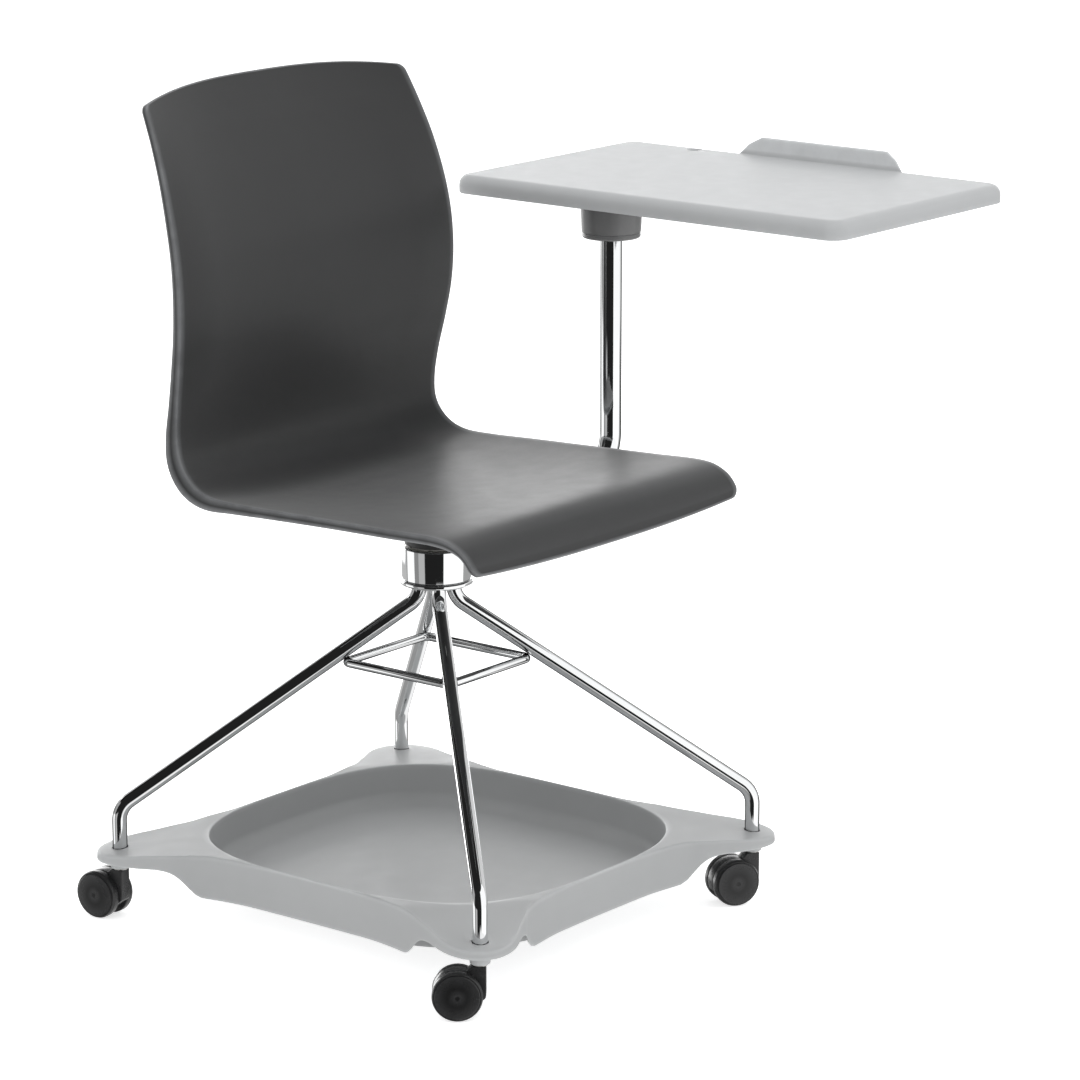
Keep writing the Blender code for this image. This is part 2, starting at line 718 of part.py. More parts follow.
# ---------------------------------------------------------------- arm
reach = math.hypot(POST_X, POST_Y)
swing = math.atan2(POST_Y, POST_X)
path = filleted(
    [(COLLAR_R + GAP, 0, ARM_Z), (reach, 0, ARM_Z), (reach, 0, POST_TOP_Z)],
    (ARM_BEND,),
)
arm = place("arm_tube", tube("arm_tube", path, TUBE_R, 4), (0, 0, 0), "chrome", swing)
path = filleted(
    [(COLLAR_R - 0.01, 0, ARM_Z), (reach, 0, ARM_Z), (reach, 0, POST_TOP_Z + 0.01)],
    (ARM_BEND,),
)
bore = tube("arm_bore", path, TUBE_R - TUBE_WALL, 3)
boolean(arm, cutter("arm_bore", bore, (0, 0, 0), swing))
place(
    "arm_collar",
    ring("arm_collar", SPINDLE_R + GAP, COLLAR_R, 0.4093, 0.4306, 28),
    hub,
    "black",
)
plug = turned(
    "post_plug",
    [
        (0, POST_TOP_Z + 0.0018),
        (0.0110, POST_TOP_Z + 0.0018),
        (0.0118, POST_TOP_Z + 0.0012),
        (0.0118, POST_TOP_Z + GAP),
        (0.0095, POST_TOP_Z + GAP),
        (0.0095, POST_TOP_Z - 0.0100),
        (0, POST_TOP_Z - 0.0100),
    ],
    16,
)
post = (POST_X, POST_Y, 0)
place("post_plug", plug, post, "black")

# ---------------------------------------------------------------- tablet
def rounded(x, y, corner, steps=6):
    points = []
    for cx, cy, first in (
        (x[1] - corner, y[1] - corner, 0),
        (x[0] + corner, y[1] - corner, 90),
        (x[0] + corner, y[0] + corner, 180),
        (x[1] - corner, y[0] + corner, 270),
    ):
        for i in range(steps + 1):
            a = math.radians(first + 90 * i / steps)
            points.append((cx + corner * math.cos(a), cy + corner * math.sin(a)))
    return points


def layer(inset, z):
    corner = max(TAB_CORNER - inset, 0.004)
    x = (TAB_X[0] + inset - POST_X, TAB_X[1] - inset - POST_X)
    y = (TAB_Y[0] + inset - POST_Y, TAB_Y[1] - inset - POST_Y)
    return [(px, py, z) for px, py in rounded(x, y, corner)]


top = rings_to_mesh(
    "tablet_top",
    [
        layer(0.0012, TAB_Z[0]),
        layer(0.0, TAB_Z[0] + 0.0015),
        layer(0.0, TAB_Z[0] + 0.0085),
        layer(0.0008, TAB_Z[1] - 0.0078),
        layer(0.0035, TAB_Z[1] - 0.0034),
        layer(0.0075, TAB_Z[1] - 0.0007),
        layer(0.0115, TAB_Z[1]),
    ],
)
tablet = place("tablet_top", top, post, "pale")
under = rings_to_mesh(
    "tablet_recess",
    [
        layer(TAB_WALL, TAB_Z[0] - 0.01),
        layer(TAB_WALL + 0.0010, TAB_Z[1] - 0.0095),
        layer(TAB_WALL + 0.0065, TAB_Z[1] - TAB_PLATE_T),
    ],
)
boolean(tablet, cutter("tablet_recess", under, post))
lx = TAB_X[1] - 0.0012 - POST_X
y0, y1 = LIP_Y[0] - POST_Y, LIP_Y[1] - POST_Y
bm = bmesh.new()
ends = []
for x, dy in ((lx - LIP_T - 0.002, 0.0), (lx, 0.0)):
    lean = 0.0015 if x != lx else 0.0
    ends.append(
        [
            bm.verts.new(p)
            for p in (
                (x, y0, TAB_Z[1] - 0.0100),
                (x, y1, TAB_Z[1] - 0.0100),
                (x, y1, TAB_Z[1] - 0.0005),
                (x + lean, y1 - LIP_SLOPE[1] * 0.45, TAB_Z[1] + LIP_H * 0.62),
                (x + lean, y1 - LIP_SLOPE[1], TAB_Z[1] + LIP_H),
                (x + lean, y0 + LIP_SLOPE[0], TAB_Z[1] + LIP_H),
                (x + lean, y0 + LIP_SLOPE[0] * 0.45, TAB_Z[1] + LIP_H * 0.62),
                (x, y0, TAB_Z[1] - 0.0005),
            )
        ]
    )
for i in range(8):
    j = (i + 1) % 8
    bm.faces.new((ends[0][i], ends[0][j], ends[1][j], ends[1][i]))
bm.faces.new(ends[0])
bm.faces.new(ends[1][::-1])
lip = cutter("tablet_lip", mesh_of("tablet_lip", bm), post)
boolean(tablet, lip, "UNION")
hole = disc("tablet_hole", HOLE_R, 0.72, 0.80, 14)
boolean(tablet, cutter("tablet_hole", hole, (HOLE_X, HOLE_Y, 0)))

flange_z = TAB_Z[1] - TAB_PLATE_T - GAP
housing = turned(
    "pivot_housing",
    [
        (0, flange_z),
        (0.0460, flange_z),
        (0.0460, flange_z - 0.0040),
        (0.0358, flange_z - 0.0040),
        (0.0353, TAB_Z[0]),
        (0.0333, HOUSING_Z + 0.0063),
        (0.0152, HOUSING_Z + 0.0063),
        (0.0152, POST_TOP_Z + 0.0022),
        (0, POST_TOP_Z + 0.0022),
    ],
    28,
)
housing = place("pivot_housing", housing, post, "midgrey")
collar = turned(
    "pivot_collar",
    [
        (0.0327, HOUSING_Z + 0.0060),
        (0.0329, HOUSING_Z + 0.0015),
        (0.0314, HOUSING_Z),
        (TUBE_R + 0.0007, HOUSING_Z),
        (TUBE_R + 0.0007, HOUSING_Z + 0.0060),
    ],
    28,
    closed=True,
)
place("pivot_collar", collar, post, "midgrey")
for name, low, high in (
    ("pivot_bush_lower", HOUSING_Z + 0.0066, HOUSING_Z + 0.0200),
    ("pivot_bush_upper", POST_TOP_Z - 0.0170, POST_TOP_Z - 0.0020),
):
    place(name, ring(name, TUBE_R + GAP, 0.0149, low, high, 20), post, "nylon")
for n in range(4):
    a = math.radians(45 + 90 * n)
    at = (POST_X + 0.0404 * math.cos(a), POST_Y + 0.0404 * math.sin(a), 0)
    hole = disc(f"housing_hole_{n + 1}", 0.0021, flange_z - 0.01, flange_z + 0.0036, 8)
    hole = cutter(f"housing_hole_{n + 1}", hole, at)
    boolean(housing, hole)
    boolean(tablet, hole)
    screw = turned(
        f"housing_screw_{n + 1}",
        [
            (0, flange_z + 0.0030),
            (0.0017, flange_z + 0.0030),
            (0.0017, flange_z - 0.0040 - GAP),
            (0.0036, flange_z - 0.0040 - GAP),
            (0.0032, flange_z - 0.0066),
            (0, flange_z - 0.0066),
        ],
        8,
    )
    place(f"housing_screw_{n + 1}", screw, at, "steel")
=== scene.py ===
import json
import math

import bmesh
import bpy
import numpy as np
from mathutils import Matrix, Vector

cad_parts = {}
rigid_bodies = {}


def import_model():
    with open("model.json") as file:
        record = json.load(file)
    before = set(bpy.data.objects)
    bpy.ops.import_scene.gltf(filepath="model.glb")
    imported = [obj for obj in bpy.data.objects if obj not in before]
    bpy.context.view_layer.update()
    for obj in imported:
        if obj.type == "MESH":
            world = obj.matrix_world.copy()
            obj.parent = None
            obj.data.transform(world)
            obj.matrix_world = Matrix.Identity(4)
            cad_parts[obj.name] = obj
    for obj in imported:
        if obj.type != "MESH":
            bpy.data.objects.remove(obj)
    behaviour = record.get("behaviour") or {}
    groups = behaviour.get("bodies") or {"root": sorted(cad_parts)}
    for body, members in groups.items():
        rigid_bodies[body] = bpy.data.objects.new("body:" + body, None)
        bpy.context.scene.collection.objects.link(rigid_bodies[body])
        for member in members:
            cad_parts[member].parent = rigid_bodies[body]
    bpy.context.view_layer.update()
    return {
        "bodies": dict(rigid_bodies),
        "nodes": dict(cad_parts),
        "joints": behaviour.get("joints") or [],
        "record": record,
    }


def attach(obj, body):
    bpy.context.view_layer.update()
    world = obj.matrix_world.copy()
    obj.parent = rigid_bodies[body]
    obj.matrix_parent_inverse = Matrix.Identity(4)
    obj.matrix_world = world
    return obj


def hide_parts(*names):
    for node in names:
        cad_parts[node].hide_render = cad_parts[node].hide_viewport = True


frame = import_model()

JOINTS = {j["name"]: j for j in frame["joints"]}
_hub = JOINTS["seat_swivel"]["pos_m"]
OFF = Vector((_hub[0], _hub[1], _hub[2] - 0.4100))
GAP = 0.0003

# ---------------------------------------------------------------- dimensions, as in the CAD part
LEG_X, LEG_Y, LEG_R = 0.2362, 0.2502, 0.0080
LEG_FOOT_Z, LEG_KNEE_Z = 0.0566, 0.1230
LEG_NECK_R, LEG_NECK_Z, LEG_TOP_Z, LEG_BEND = 0.0180, 0.3500, 0.3840, 0.027
BRACE_ROD_R, BRACE_CORNER_R, BRACE_BEND = 0.00475, 0.0962, 0.009
HUB_RING_R, HUB_RING_Z = 0.0394, (0.3657, 0.3717)
HUB_COVER_R, HUB_COVER_Z, HUB_CORE_R = 0.0372, (0.3720, 0.4070), 0.0345
SPINDLE_R = 0.0090
BOWL_A, BOWL_B, BOWL_N = 0.2142, 0.2245, 3.1
RIM_Z, TRAY_BASE_Z, FLOOR_Z = 0.0880, 0.0400, 0.0436
WEB_T, EAR_SLOPE, EAR_EDGE_Z, BOSS_Z = 0.0036, 0.100, 0.0665, 0.0562
CASTOR_R, CASTOR_TRAIL, HOOD_R, HOOD_T, STEM_R = 0.0262, 0.0230, 0.0260, 0.0140, 0.0040
CASTOR_HEADING = {"front_right": 128.3, "rear_right": 94.2, "front_left": 148.1, "rear_left": 112.0}
CORNERS = {"front_right": (-1, -1), "front_left": (1, -1), "rear_right": (-1, 1), "rear_left": (1, 1)}
SHELL_STATIONS = (
    (-0.2360, 0.4540, 0.2255, 0.000, 0.000, 0.0055),
    (-0.2290, 0.4680, 0.2268, 0.000, 0.000, 0.0060),
    (-0.2135, 0.4803, 0.2272, 0.000, 0.000, 0.0070),
    (-0.1860, 0.4868, 0.2266, 0.001, 0.000, 0.0080),
    (-0.1200, 0.4850, 0.2245, 0.005, 0.000, 0.0080),
    (-0.0400, 0.4828, 0.2213, 0.010, 0.000, 0.0082),
    (0.0400, 0.4804, 0.2188, 0.013, 0.000, 0.0090),
    (0.0950, 0.4788, 0.2160, 0.014, 0.000, 0.0105),
    (0.1340, 0.4802, 0.2136, 0.014, 0.000, 0.0145),
    (0.1580, 0.4905, 0.2122, 0.014, 0.000, 0.0175),
    (0.1728, 0.5095, 0.2115, 0.014, 0.000, 0.0175),
    (0.1762, 0.5350, 0.2128, 0.014, 0.001, 0.0150),
    (0.1725, 0.5680, 0.2155, 0.014, 0.002, 0.0120),
    (0.1655, 0.6050, 0.2195, 0.013, 0.004, 0.0115),
    (0.1595, 0.6450, 0.2225, 0.012, 0.006, 0.0110),
    (0.1580, 0.6850, 0.2236, 0.013, 0.007, 0.0100),
    (0.1610, 0.7250, 0.2232, 0.015, 0.007, 0.0090),
    (0.1690, 0.7650, 0.2212, 0.017, 0.005, 0.0080),
    (0.1820, 0.8080, 0.2172, 0.020, 0.003, 0.0068),
    (0.1985, 0.8480, 0.2122, 0.021, 0.001, 0.0058),
    (0.2150, 0.8820, 0.2075, 0.022, 0.000, 0.0052),
)
SHELL_T, BACK_ARCH, FRONT_BOW = 0.0052, 0.0255, 0.0062
BOSS_XY, PLATE_TOP_Z = 0.0550, 0.4560
POST_X, POST_Y, TUBE_R, TUBE_WALL = 0.3448, 0.0293, 0.0121, 0.0020
ARM_Z, ARM_BEND, POST_TOP_Z, COLLAR_R = 0.4200, 0.0480, 0.7420, 0.0340
TAB_X, TAB_Y, TAB_Z, TAB_CORNER = (0.2485, 0.5800), (-0.3420, 0.1810), (0.7373, 0.7580), 0.0210
TAB_PLATE_T, TAB_WALL = 0.0050, 0.0045
LIP_Y, LIP_H, LIP_SLOPE = (-0.2056, 0.0207), 0.0205, (0.0220, 0.0320)
HOLE_X, HOLE_Y, HOLE_R = 0.5620, 0.0740, 0.0085
HOUSING_Z = 0.6904


# ---------------------------------------------------------------- node materials
class Nodes:
    """A small wrapper that adds nodes to a material or a world and joins them."""

    def __init__(self, owner):
        owner.use_nodes = True
        self.tree = owner.node_tree
        self.tree.nodes.clear()

    def add(self, kind, inputs=None, **settings):
        node = self.tree.nodes.new(kind)
        for name, value in settings.items():
            setattr(node, name, value)
        for name, value in (inputs or {}).items():
            target = node.inputs[name]
            if isinstance(value, bpy.types.NodeSocket):
                self.tree.links.new(value, target)
            else:
                target.default_value = value
        return node

    def math(self, operation, a, b=0.0, c=0.0, clamp=False):
        node = self.add("ShaderNodeMath", {0: a, 1: b, 2: c}, operation=operation)
        node.use_clamp = clamp
        return node.outputs[0]

    def noise(self, vector, scale, detail=3.0, rough=0.55):
        node = self.add("ShaderNodeTexNoise", {"Vector": vector, "Scale": scale, "Detail": detail, "Roughness": rough})
        return node.outputs["Fac"]

    def spread(self, value, low, high, to_low=0.0, to_high=1.0):
        node = self.add("ShaderNodeMapRange", {"Value": value, "From Min": low, "From Max": high, "To Min": to_low, "To Max": to_high})
        return node.outputs["Result"]

    def mix(self, factor, a, b, blend="MIX"):
        node = self.add("ShaderNodeMix", data_type="RGBA", blend_type=blend)
        for slot, value in ((0, factor), (6, a), (7, b)):
            if isinstance(value, bpy.types.NodeSocket):
                self.tree.links.new(value, node.inputs[slot])
            else:
                node.inputs[slot].default_value = value
        return node.outputs[2]


def rgb(value, tint=(1.0, 1.0, 1.0), gain=1.0):
    return (value * tint[0] * gain, value * tint[1] * gain, value * tint[2] * gain, 1.0)


def plastic(name, value, tint=(1, 1, 1), rough=0.45, rough_spread=0.06, grain=1.4, grain_depth=0.00004,
            mottle=0.05, edge_wear_highlight_amount=0.25, edge_wear_highlight_value=None, specular=0.5, ripple=0.00012, scuff=0.0, sheen=0.0, painted_light_above=None):
    """Moulded plastic: a fine grain, slow changes of tone and gloss, edges polished by use and lightened in colour,
    partly as a painted highlight along them, and, if asked, a painted light that lightens the colour above a given
    height.
    """
    made = bpy.data.materials.new(name)
    n = Nodes(made)
    at = n.add("ShaderNodeTexCoord").outputs["Object"]
    slow = n.noise(at, 7.0, 2.0)
    cloud = n.noise(at, 46.0, 4.0)
    speck = n.noise(at, 1000.0 / grain, 2.0, 0.6)
    tone = n.math("ADD", n.math("MULTIPLY", slow, 0.65), n.math("MULTIPLY", cloud, 0.35))
    base = n.mix(n.spread(tone, 0.35, 0.65), rgb(value, tint, 1 - mottle), rgb(value, tint, 1 + mottle))
    base = n.mix(n.spread(speck, 0.42, 0.75, 0.0, 0.10), base, rgb(value, tint, 1.0 + 4 * mottle))
    # Edge wear and painted highlight: where the surface bends outwards sharply, the colour goes lighter, partly as real
    # wear and partly as a painted highlight along the edge.
    edge = n.add("ShaderNodeAttribute", attribute_name="edge").outputs["Fac"]
    rubbed_highlit_edge = n.math("MULTIPLY", edge, n.spread(cloud, 0.35, 0.62, 0.72, 1.0), clamp=True)
    worn_highlight_colour = rgb(edge_wear_highlight_value if edge_wear_highlight_value is not None else value * 1.35, tint)
    base = n.mix(n.math("MULTIPLY", rubbed_highlit_edge, edge_wear_highlight_amount), base, worn_highlight_colour)
    # Painted light: above the given height, on the tablet's raised lip, the colour is lightened towards 0.74, standing
    # in for the light on the lip.
    if painted_light_above is not None:
        level = n.add("ShaderNodeSeparateXYZ", {0: at}).outputs["Z"]
        lip_painted_light = n.math("MULTIPLY", n.spread(level, painted_light_above, painted_light_above + 0.005), n.spread(cloud, 0.3, 0.6, 0.8, 1.0))
        base = n.mix(lip_painted_light, base, rgb(0.74, tint))
    gloss = n.math("ADD", n.spread(cloud, 0.3, 0.7, rough - rough_spread, rough + rough_spread), n.math("MULTIPLY", rubbed_highlit_edge, -0.10))
    gloss = n.math("ADD", gloss, n.spread(speck, 0.3, 0.7, -0.02, 0.02))
    if scuff:
        stretched = n.add("ShaderNodeMapping", {"Vector": at, "Scale": (9.0, 160.0, 160.0), "Rotation": (0.0, 0.0, 0.5)}).outputs[0]
        lines = n.spread(n.noise(stretched, 1.6, 5.0, 0.7), 0.60, 0.74)
        gloss = n.math("ADD", gloss, n.math("MULTIPLY", lines, scuff))
    height = n.math("MULTIPLY", speck, grain_depth)
    height = n.math("ADD", height, n.math("MULTIPLY", n.noise(at, 22.0, 1.0), ripple))
    bump = n.add("ShaderNodeBump", {"Strength": 1.0, "Distance": 1.0, "Height": height})
    shader = n.add("ShaderNodeBsdfPrincipled", {"Base Color": base, "Roughness": gloss, "Normal": bump.outputs[0], "Specular IOR Level": specular, "Sheen Weight": sheen, "Sheen Roughness": 0.42})
    out = n.add("ShaderNodeOutputMaterial", {"Surface": shader.outputs[0]})
    made.diffuse_color = rgb(value, tint)
    return made


def metal(name, value, tint=(1, 1, 1), rough=0.05, rough_spread=0.02, smudge=0.0, ripple=0.00002, lines=0.0, dark=None, rim=None):
    """Plated or bare metal: polish that varies, faint smudges, and machining lines where it's turned. A rim value
    paints a dark outline on a tube: painted shade where its face turns away from the view.
    """
    made = bpy.data.materials.new(name)
    n = Nodes(made)
    at = n.add("ShaderNodeTexCoord").outputs["Object"]
    slow = n.noise(at, 16.0, 3.0)
    fine = n.noise(at, 240.0, 3.0, 0.6)
    base = n.mix(n.spread(slow, 0.35, 0.65), rgb(value, tint, 0.97), rgb(value, tint, 1.02))
    if dark is not None:
        base = n.mix(n.spread(fine, 0.55, 0.78, 0.0, 0.5), base, rgb(dark, tint))
    outline_shade_tint = (1.0, 1.0, 1.0, 1.0)
    # Painted shade: with a rim value, the base colour and the specular tint go dark where the face turns away from the
    # view, a painted dark outline.
    if rim is not None:
        facing = n.add("ShaderNodeLayerWeight", {"Blend": 0.5}).outputs["Facing"]
        base = n.mix(n.spread(facing, 0.48, 0.70), base, rgb(rim, tint))
        outline_shade_tint = (rim * 2, rim * 2, rim * 2, 1.0)
    gloss = n.spread(fine, 0.3, 0.7, rough - rough_spread, rough + rough_spread)
    gloss = n.math("ADD", gloss, n.math("MULTIPLY", n.spread(slow, 0.5, 0.72), smudge), clamp=True)
    height = n.math("MULTIPLY", n.noise(at, 70.0, 1.0), ripple)
    if lines:
        turned_lines = n.add("ShaderNodeMapping", {"Vector": at, "Scale": (60.0, 60.0, 2600.0)}).outputs[0]
        height = n.math("ADD", height, n.math("MULTIPLY", n.noise(turned_lines, 1.0, 2.0), lines))
    bump = n.add("ShaderNodeBump", {"Strength": 1.0, "Distance": 1.0, "Height": height})
    shader = n.add("ShaderNodeBsdfPrincipled", {"Base Color": base, "Metallic": 1.0, "Roughness": gloss, "Specular Tint": outline_shade_tint, "Normal": bump.outputs[0]})
    n.add("ShaderNodeOutputMaterial", {"Surface": shader.outputs[0]})
    made.diffuse_color = rgb(value, tint)
    return made


MAT = {
    # the shell's much lighter edge colour is partly wear and partly a painted highlight along its edges
    "shell": plastic("charcoal_moulded", 0.017, (0.98, 1.0, 1.03), rough=0.45, rough_spread=0.025, grain=1.7, grain_depth=0.00005, mottle=0.05, edge_wear_highlight_amount=0.65, edge_wear_highlight_value=0.30, specular=0.32, sheen=0.36, ripple=0.00001, scuff=0.03),
    "tray": plastic("pale_tray_moulded", 0.43, (0.985, 1.0, 1.005), rough=0.48, grain=1.5, grain_depth=0.00004, mottle=0.025, edge_wear_highlight_amount=0.5, edge_wear_highlight_value=0.66, specular=0.35, ripple=0.00012, scuff=0.05),
    # the tablet's lip, above its top face, is painted lighter: painted light
    "tablet": plastic("pale_tablet_moulded", 0.47, (0.985, 1.0, 1.01), rough=0.48, grain=1.3, grain_depth=0.00003, mottle=0.02, edge_wear_highlight_amount=0.35, edge_wear_highlight_value=0.66, specular=0.25, ripple=0.00008, scuff=0.06, painted_light_above=OFF.z + TAB_Z[1] + 0.0008),
    "housing": plastic("grey_housing", 0.125, (1.0, 1.0, 1.0), rough=0.42, grain=1.1, mottle=0.05, edge_wear_highlight_amount=0.4, edge_wear_highlight_value=0.21, ripple=0.00008),
    "black": plastic("black_nylon_moulded", 0.009, (1.0, 1.0, 1.02), rough=0.34, grain=0.9, mottle=0.10, edge_wear_highlight_amount=0.6, edge_wear_highlight_value=0.05, specular=0.4, ripple=0.00006),
    "tread": plastic("castor_wheel_black", 0.007, (1.0, 1.0, 1.02), rough=0.34, rough_spread=0.06, grain=0.8, mottle=0.12, edge_wear_highlight_amount=0.6, edge_wear_highlight_value=0.050, specular=0.4, ripple=0.00006, scuff=0.10),
    "paint": plastic("black_powder_coat", 0.012, rough=0.46, grain=0.9, grain_depth=0.00006, mottle=0.12, edge_wear_highlight_amount=0.5, edge_wear_highlight_value=0.045, ripple=0.00005),
    "nylon": plastic("natural_nylon", 0.60, (1.0, 0.985, 0.93), rough=0.42, grain=0.8, grain_depth=0.00002, mottle=0.04, edge_wear_highlight_amount=0.2, ripple=0.00003),
    "chrome": metal("bright_chrome", 0.88, (0.985, 0.995, 1.0), rough=0.045, rough_spread=0.015, smudge=0.05, ripple=0.00001),
    # the tube's rim value paints a dark outline along its edges: painted shade
    "tube": metal("bright_chrome_tube", 0.88, (0.985, 0.995, 1.0), rough=0.045, rough_spread=0.015, smudge=0.05, ripple=0.00001, rim=0.05),
    "steel": metal("zinc_plated_steel", 0.55, (1.0, 0.99, 0.96), rough=0.30, rough_spread=0.07, smudge=0.08, ripple=0.00003, lines=0.00002, dark=0.30),
}


# ---------------------------------------------------------------- mesh helpers
class Build:
    """The points and faces of one piece, collected ring by ring."""

    def __init__(self):
        self.points, self.faces = [], []

    def ring(self, points):
        first = len(self.points)
        self.points.extend(tuple(p) for p in points)
        return list(range(first, len(self.points)))

    def band(self, a, b, closed=True):
        n = len(a)
        for i in range(n if closed else n - 1):
            j = (i + 1) % n
            self.faces.append((a[i], a[j], b[j], b[i]))

    def bands(self, rings, closed=True):
        for a, b in zip(rings, rings[1:]):
            self.band(a, b, closed)

    def fan(self, ring, point):
        (middle,) = self.ring([point])
        n = len(ring)
        for i in range(n):
            self.faces.append((ring[i], ring[(i + 1) % n], middle))

    def cap(self, ring):
        self.faces.append(tuple(ring))


def edge_wear_highlight_map(mesh):
    """Writes how sharply each point bends outwards, 1 at a 1.5 mm radius, for the edge wear and the painted highlight
    along the edges.
    """
    mesh.update()
    count = len(mesh.vertices)
    at, normal = np.empty(count * 3), np.empty(count * 3)
    mesh.vertices.foreach_get("co", at)
    mesh.vertices.foreach_get("normal", normal)
    at, normal = at.reshape(-1, 3), normal.reshape(-1, 3)
    ends = np.empty(len(mesh.edges) * 2, np.int64)
    mesh.edges.foreach_get("vertices", ends)
    a, b = ends.reshape(-1, 2).T
    step = at[b] - at[a]
    bend = ((normal[b] - normal[a]) * step).sum(1) / np.maximum((step * step).sum(1), 1e-12)
    most = np.zeros(count)
    np.maximum.at(most, a, bend)
    np.maximum.at(most, b, bend)
    layer = mesh.attributes.new("edge", "FLOAT", "POINT")
    layer.data.foreach_set("value", np.clip(most * 0.0015, 0, 1).astype(np.float32))


def finish_mesh(mesh, sharp=38):
    bm = bmesh.new()
    bm.from_mesh(mesh)
    bmesh.ops.remove_doubles(bm, verts=bm.verts, dist=1e-6)
    bmesh.ops.dissolve_degenerate(bm, edges=bm.edges, dist=1e-6)
    bmesh.ops.recalc_face_normals(bm, faces=bm.faces)
    bm.to_mesh(mesh)
    bm.free()
    mesh.shade_smooth()
    mesh.set_sharp_from_angle(angle=math.radians(sharp))


PIECES = []


def piece(name, built, body, mat, nodes=(), sharp=38, shape=None, cuts=()):
    """A finished object. `shape` places it about the hub axis; `cuts` are meshes taken out of it."""
    mesh = bpy.data.meshes.new(name)
    mesh.from_pydata(built.points, [], built.faces)
    if shape is not None:
        mesh.transform(shape)
    mesh.transform(Matrix.Translation(OFF))
    finish_mesh(mesh, sharp)
    obj = bpy.data.objects.new(name, mesh)
    bpy.context.scene.collection.objects.link(obj)
    for number, (cut, how) in enumerate(cuts):
        other = bpy.data.meshes.new(f"{name}_cut_{number}")
        other.from_pydata(cut.points, [], cut.faces)
        other.transform(Matrix.Translation(OFF))
        finish_mesh(other)
        tool = bpy.data.objects.new(f"{name}_cut_{number}", other)
        tool.hide_render = True
        bpy.context.scene.collection.objects.link(tool)
        modifier = obj.modifiers.new("cut", "BOOLEAN")
        modifier.operation, modifier.solver, modifier.object = how, "EXACT", tool
        bpy.context.view_layer.update()
        graph = bpy.context.evaluated_depsgraph_get()
        result = bpy.data.meshes.new_from_object(obj.evaluated_get(graph))
        obj.modifiers.clear()
        bpy.data.objects.remove(tool, do_unlink=True)
        bpy.data.meshes.remove(other)
        old, obj.data = obj.data, result
        bpy.data.meshes.remove(old)
        obj.data.name = name
        finish_mesh(obj.data, sharp)
    edge_wear_highlight_map(obj.data)
    obj.data.materials.clear()
    obj.data.materials.append(MAT[mat])
    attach(obj, body)
    if nodes:
        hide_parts(*nodes)
    PIECES.append(obj)
    return obj


def soften(points, radius, steps=4, closed=False):
    """A flat profile with its corners rounded: one radius, or one for each point."""
    at = [Vector(p) for p in points]
    count = len(at)
    radii = list(radius) if hasattr(radius, "__len__") else [radius] * count
    out = []
    for i, p in enumerate(at):
        if (not closed and i in (0, count - 1)) or radii[i] <= 0:
            out.append(tuple(p))
            continue
        a, b = at[i - 1] - p, at[(i + 1) % count] - p
        la, lb = a.length, b.length
        a.normalize()
        b.normalize()
        angle = a.angle(b)
        if angle > math.radians(177):
            out.append(tuple(p))
            continue
        reach = min(radii[i] / math.tan(angle / 2), la * 0.48, lb * 0.48)
        r = reach * math.tan(angle / 2)
        centre = p + (a + b).normalized() * (r / math.sin(angle / 2))
        start, end, turn = p + a * reach - centre, p + b * reach - centre, math.pi - angle
        for k in range(steps + 1):
            t = k / steps
            out.append(tuple(centre + (start * math.sin((1 - t) * turn) + end * math.sin(t * turn)) / math.sin(turn)))
    return out


def lathe(profile, steps=64, closed=False, turn=0.0, build=None):
    """A solid of revolution about Z from (radius, z) pairs."""
    build = build or Build()
    angles = [2 * math.pi * i / steps + turn for i in range(steps)]
    rings, first_pole, last_pole = [], None, None
    for k, (r, z) in enumerate(profile):
        if r < 1e-7:
            if k == 0:
                first_pole = z
            else:
                last_pole = z
            continue
        rings.append(build.ring([(r * math.cos(a), r * math.sin(a), z) for a in angles]))
    build.bands(rings)
    if closed:
        build.band(rings[-1], rings[0])
    if first_pole is not None:
        build.fan(rings[0], (0, 0, first_pole))
    if last_pole is not None:
        build.fan(rings[-1], (0, 0, last_pole))
    return build


def filleted(corners, radii, step=3.0):
    corners = [Vector(c) for c in corners]
    path = [corners[0]]
    for before, at, after, radius in zip(corners, corners[1:], corners[2:], radii):
        come, go = (at - before).normalized(), (after - at).normalized()
        angle = come.angle(go)
        reach = radius * math.tan(angle / 2)
        start, end = at - come * reach, at + go * reach
        centre = at + (go - come).normalized() * (radius / math.cos(angle / 2))
        count = max(3, round(math.degrees(angle) / step))
        a, b = start - centre, end - centre
        for i in range(count + 1):
            t = i / count
            path.append(centre + (a * math.sin((1 - t) * angle) + b * math.sin(t * angle)) / math.sin(angle))
    return path + [corners[-1]]


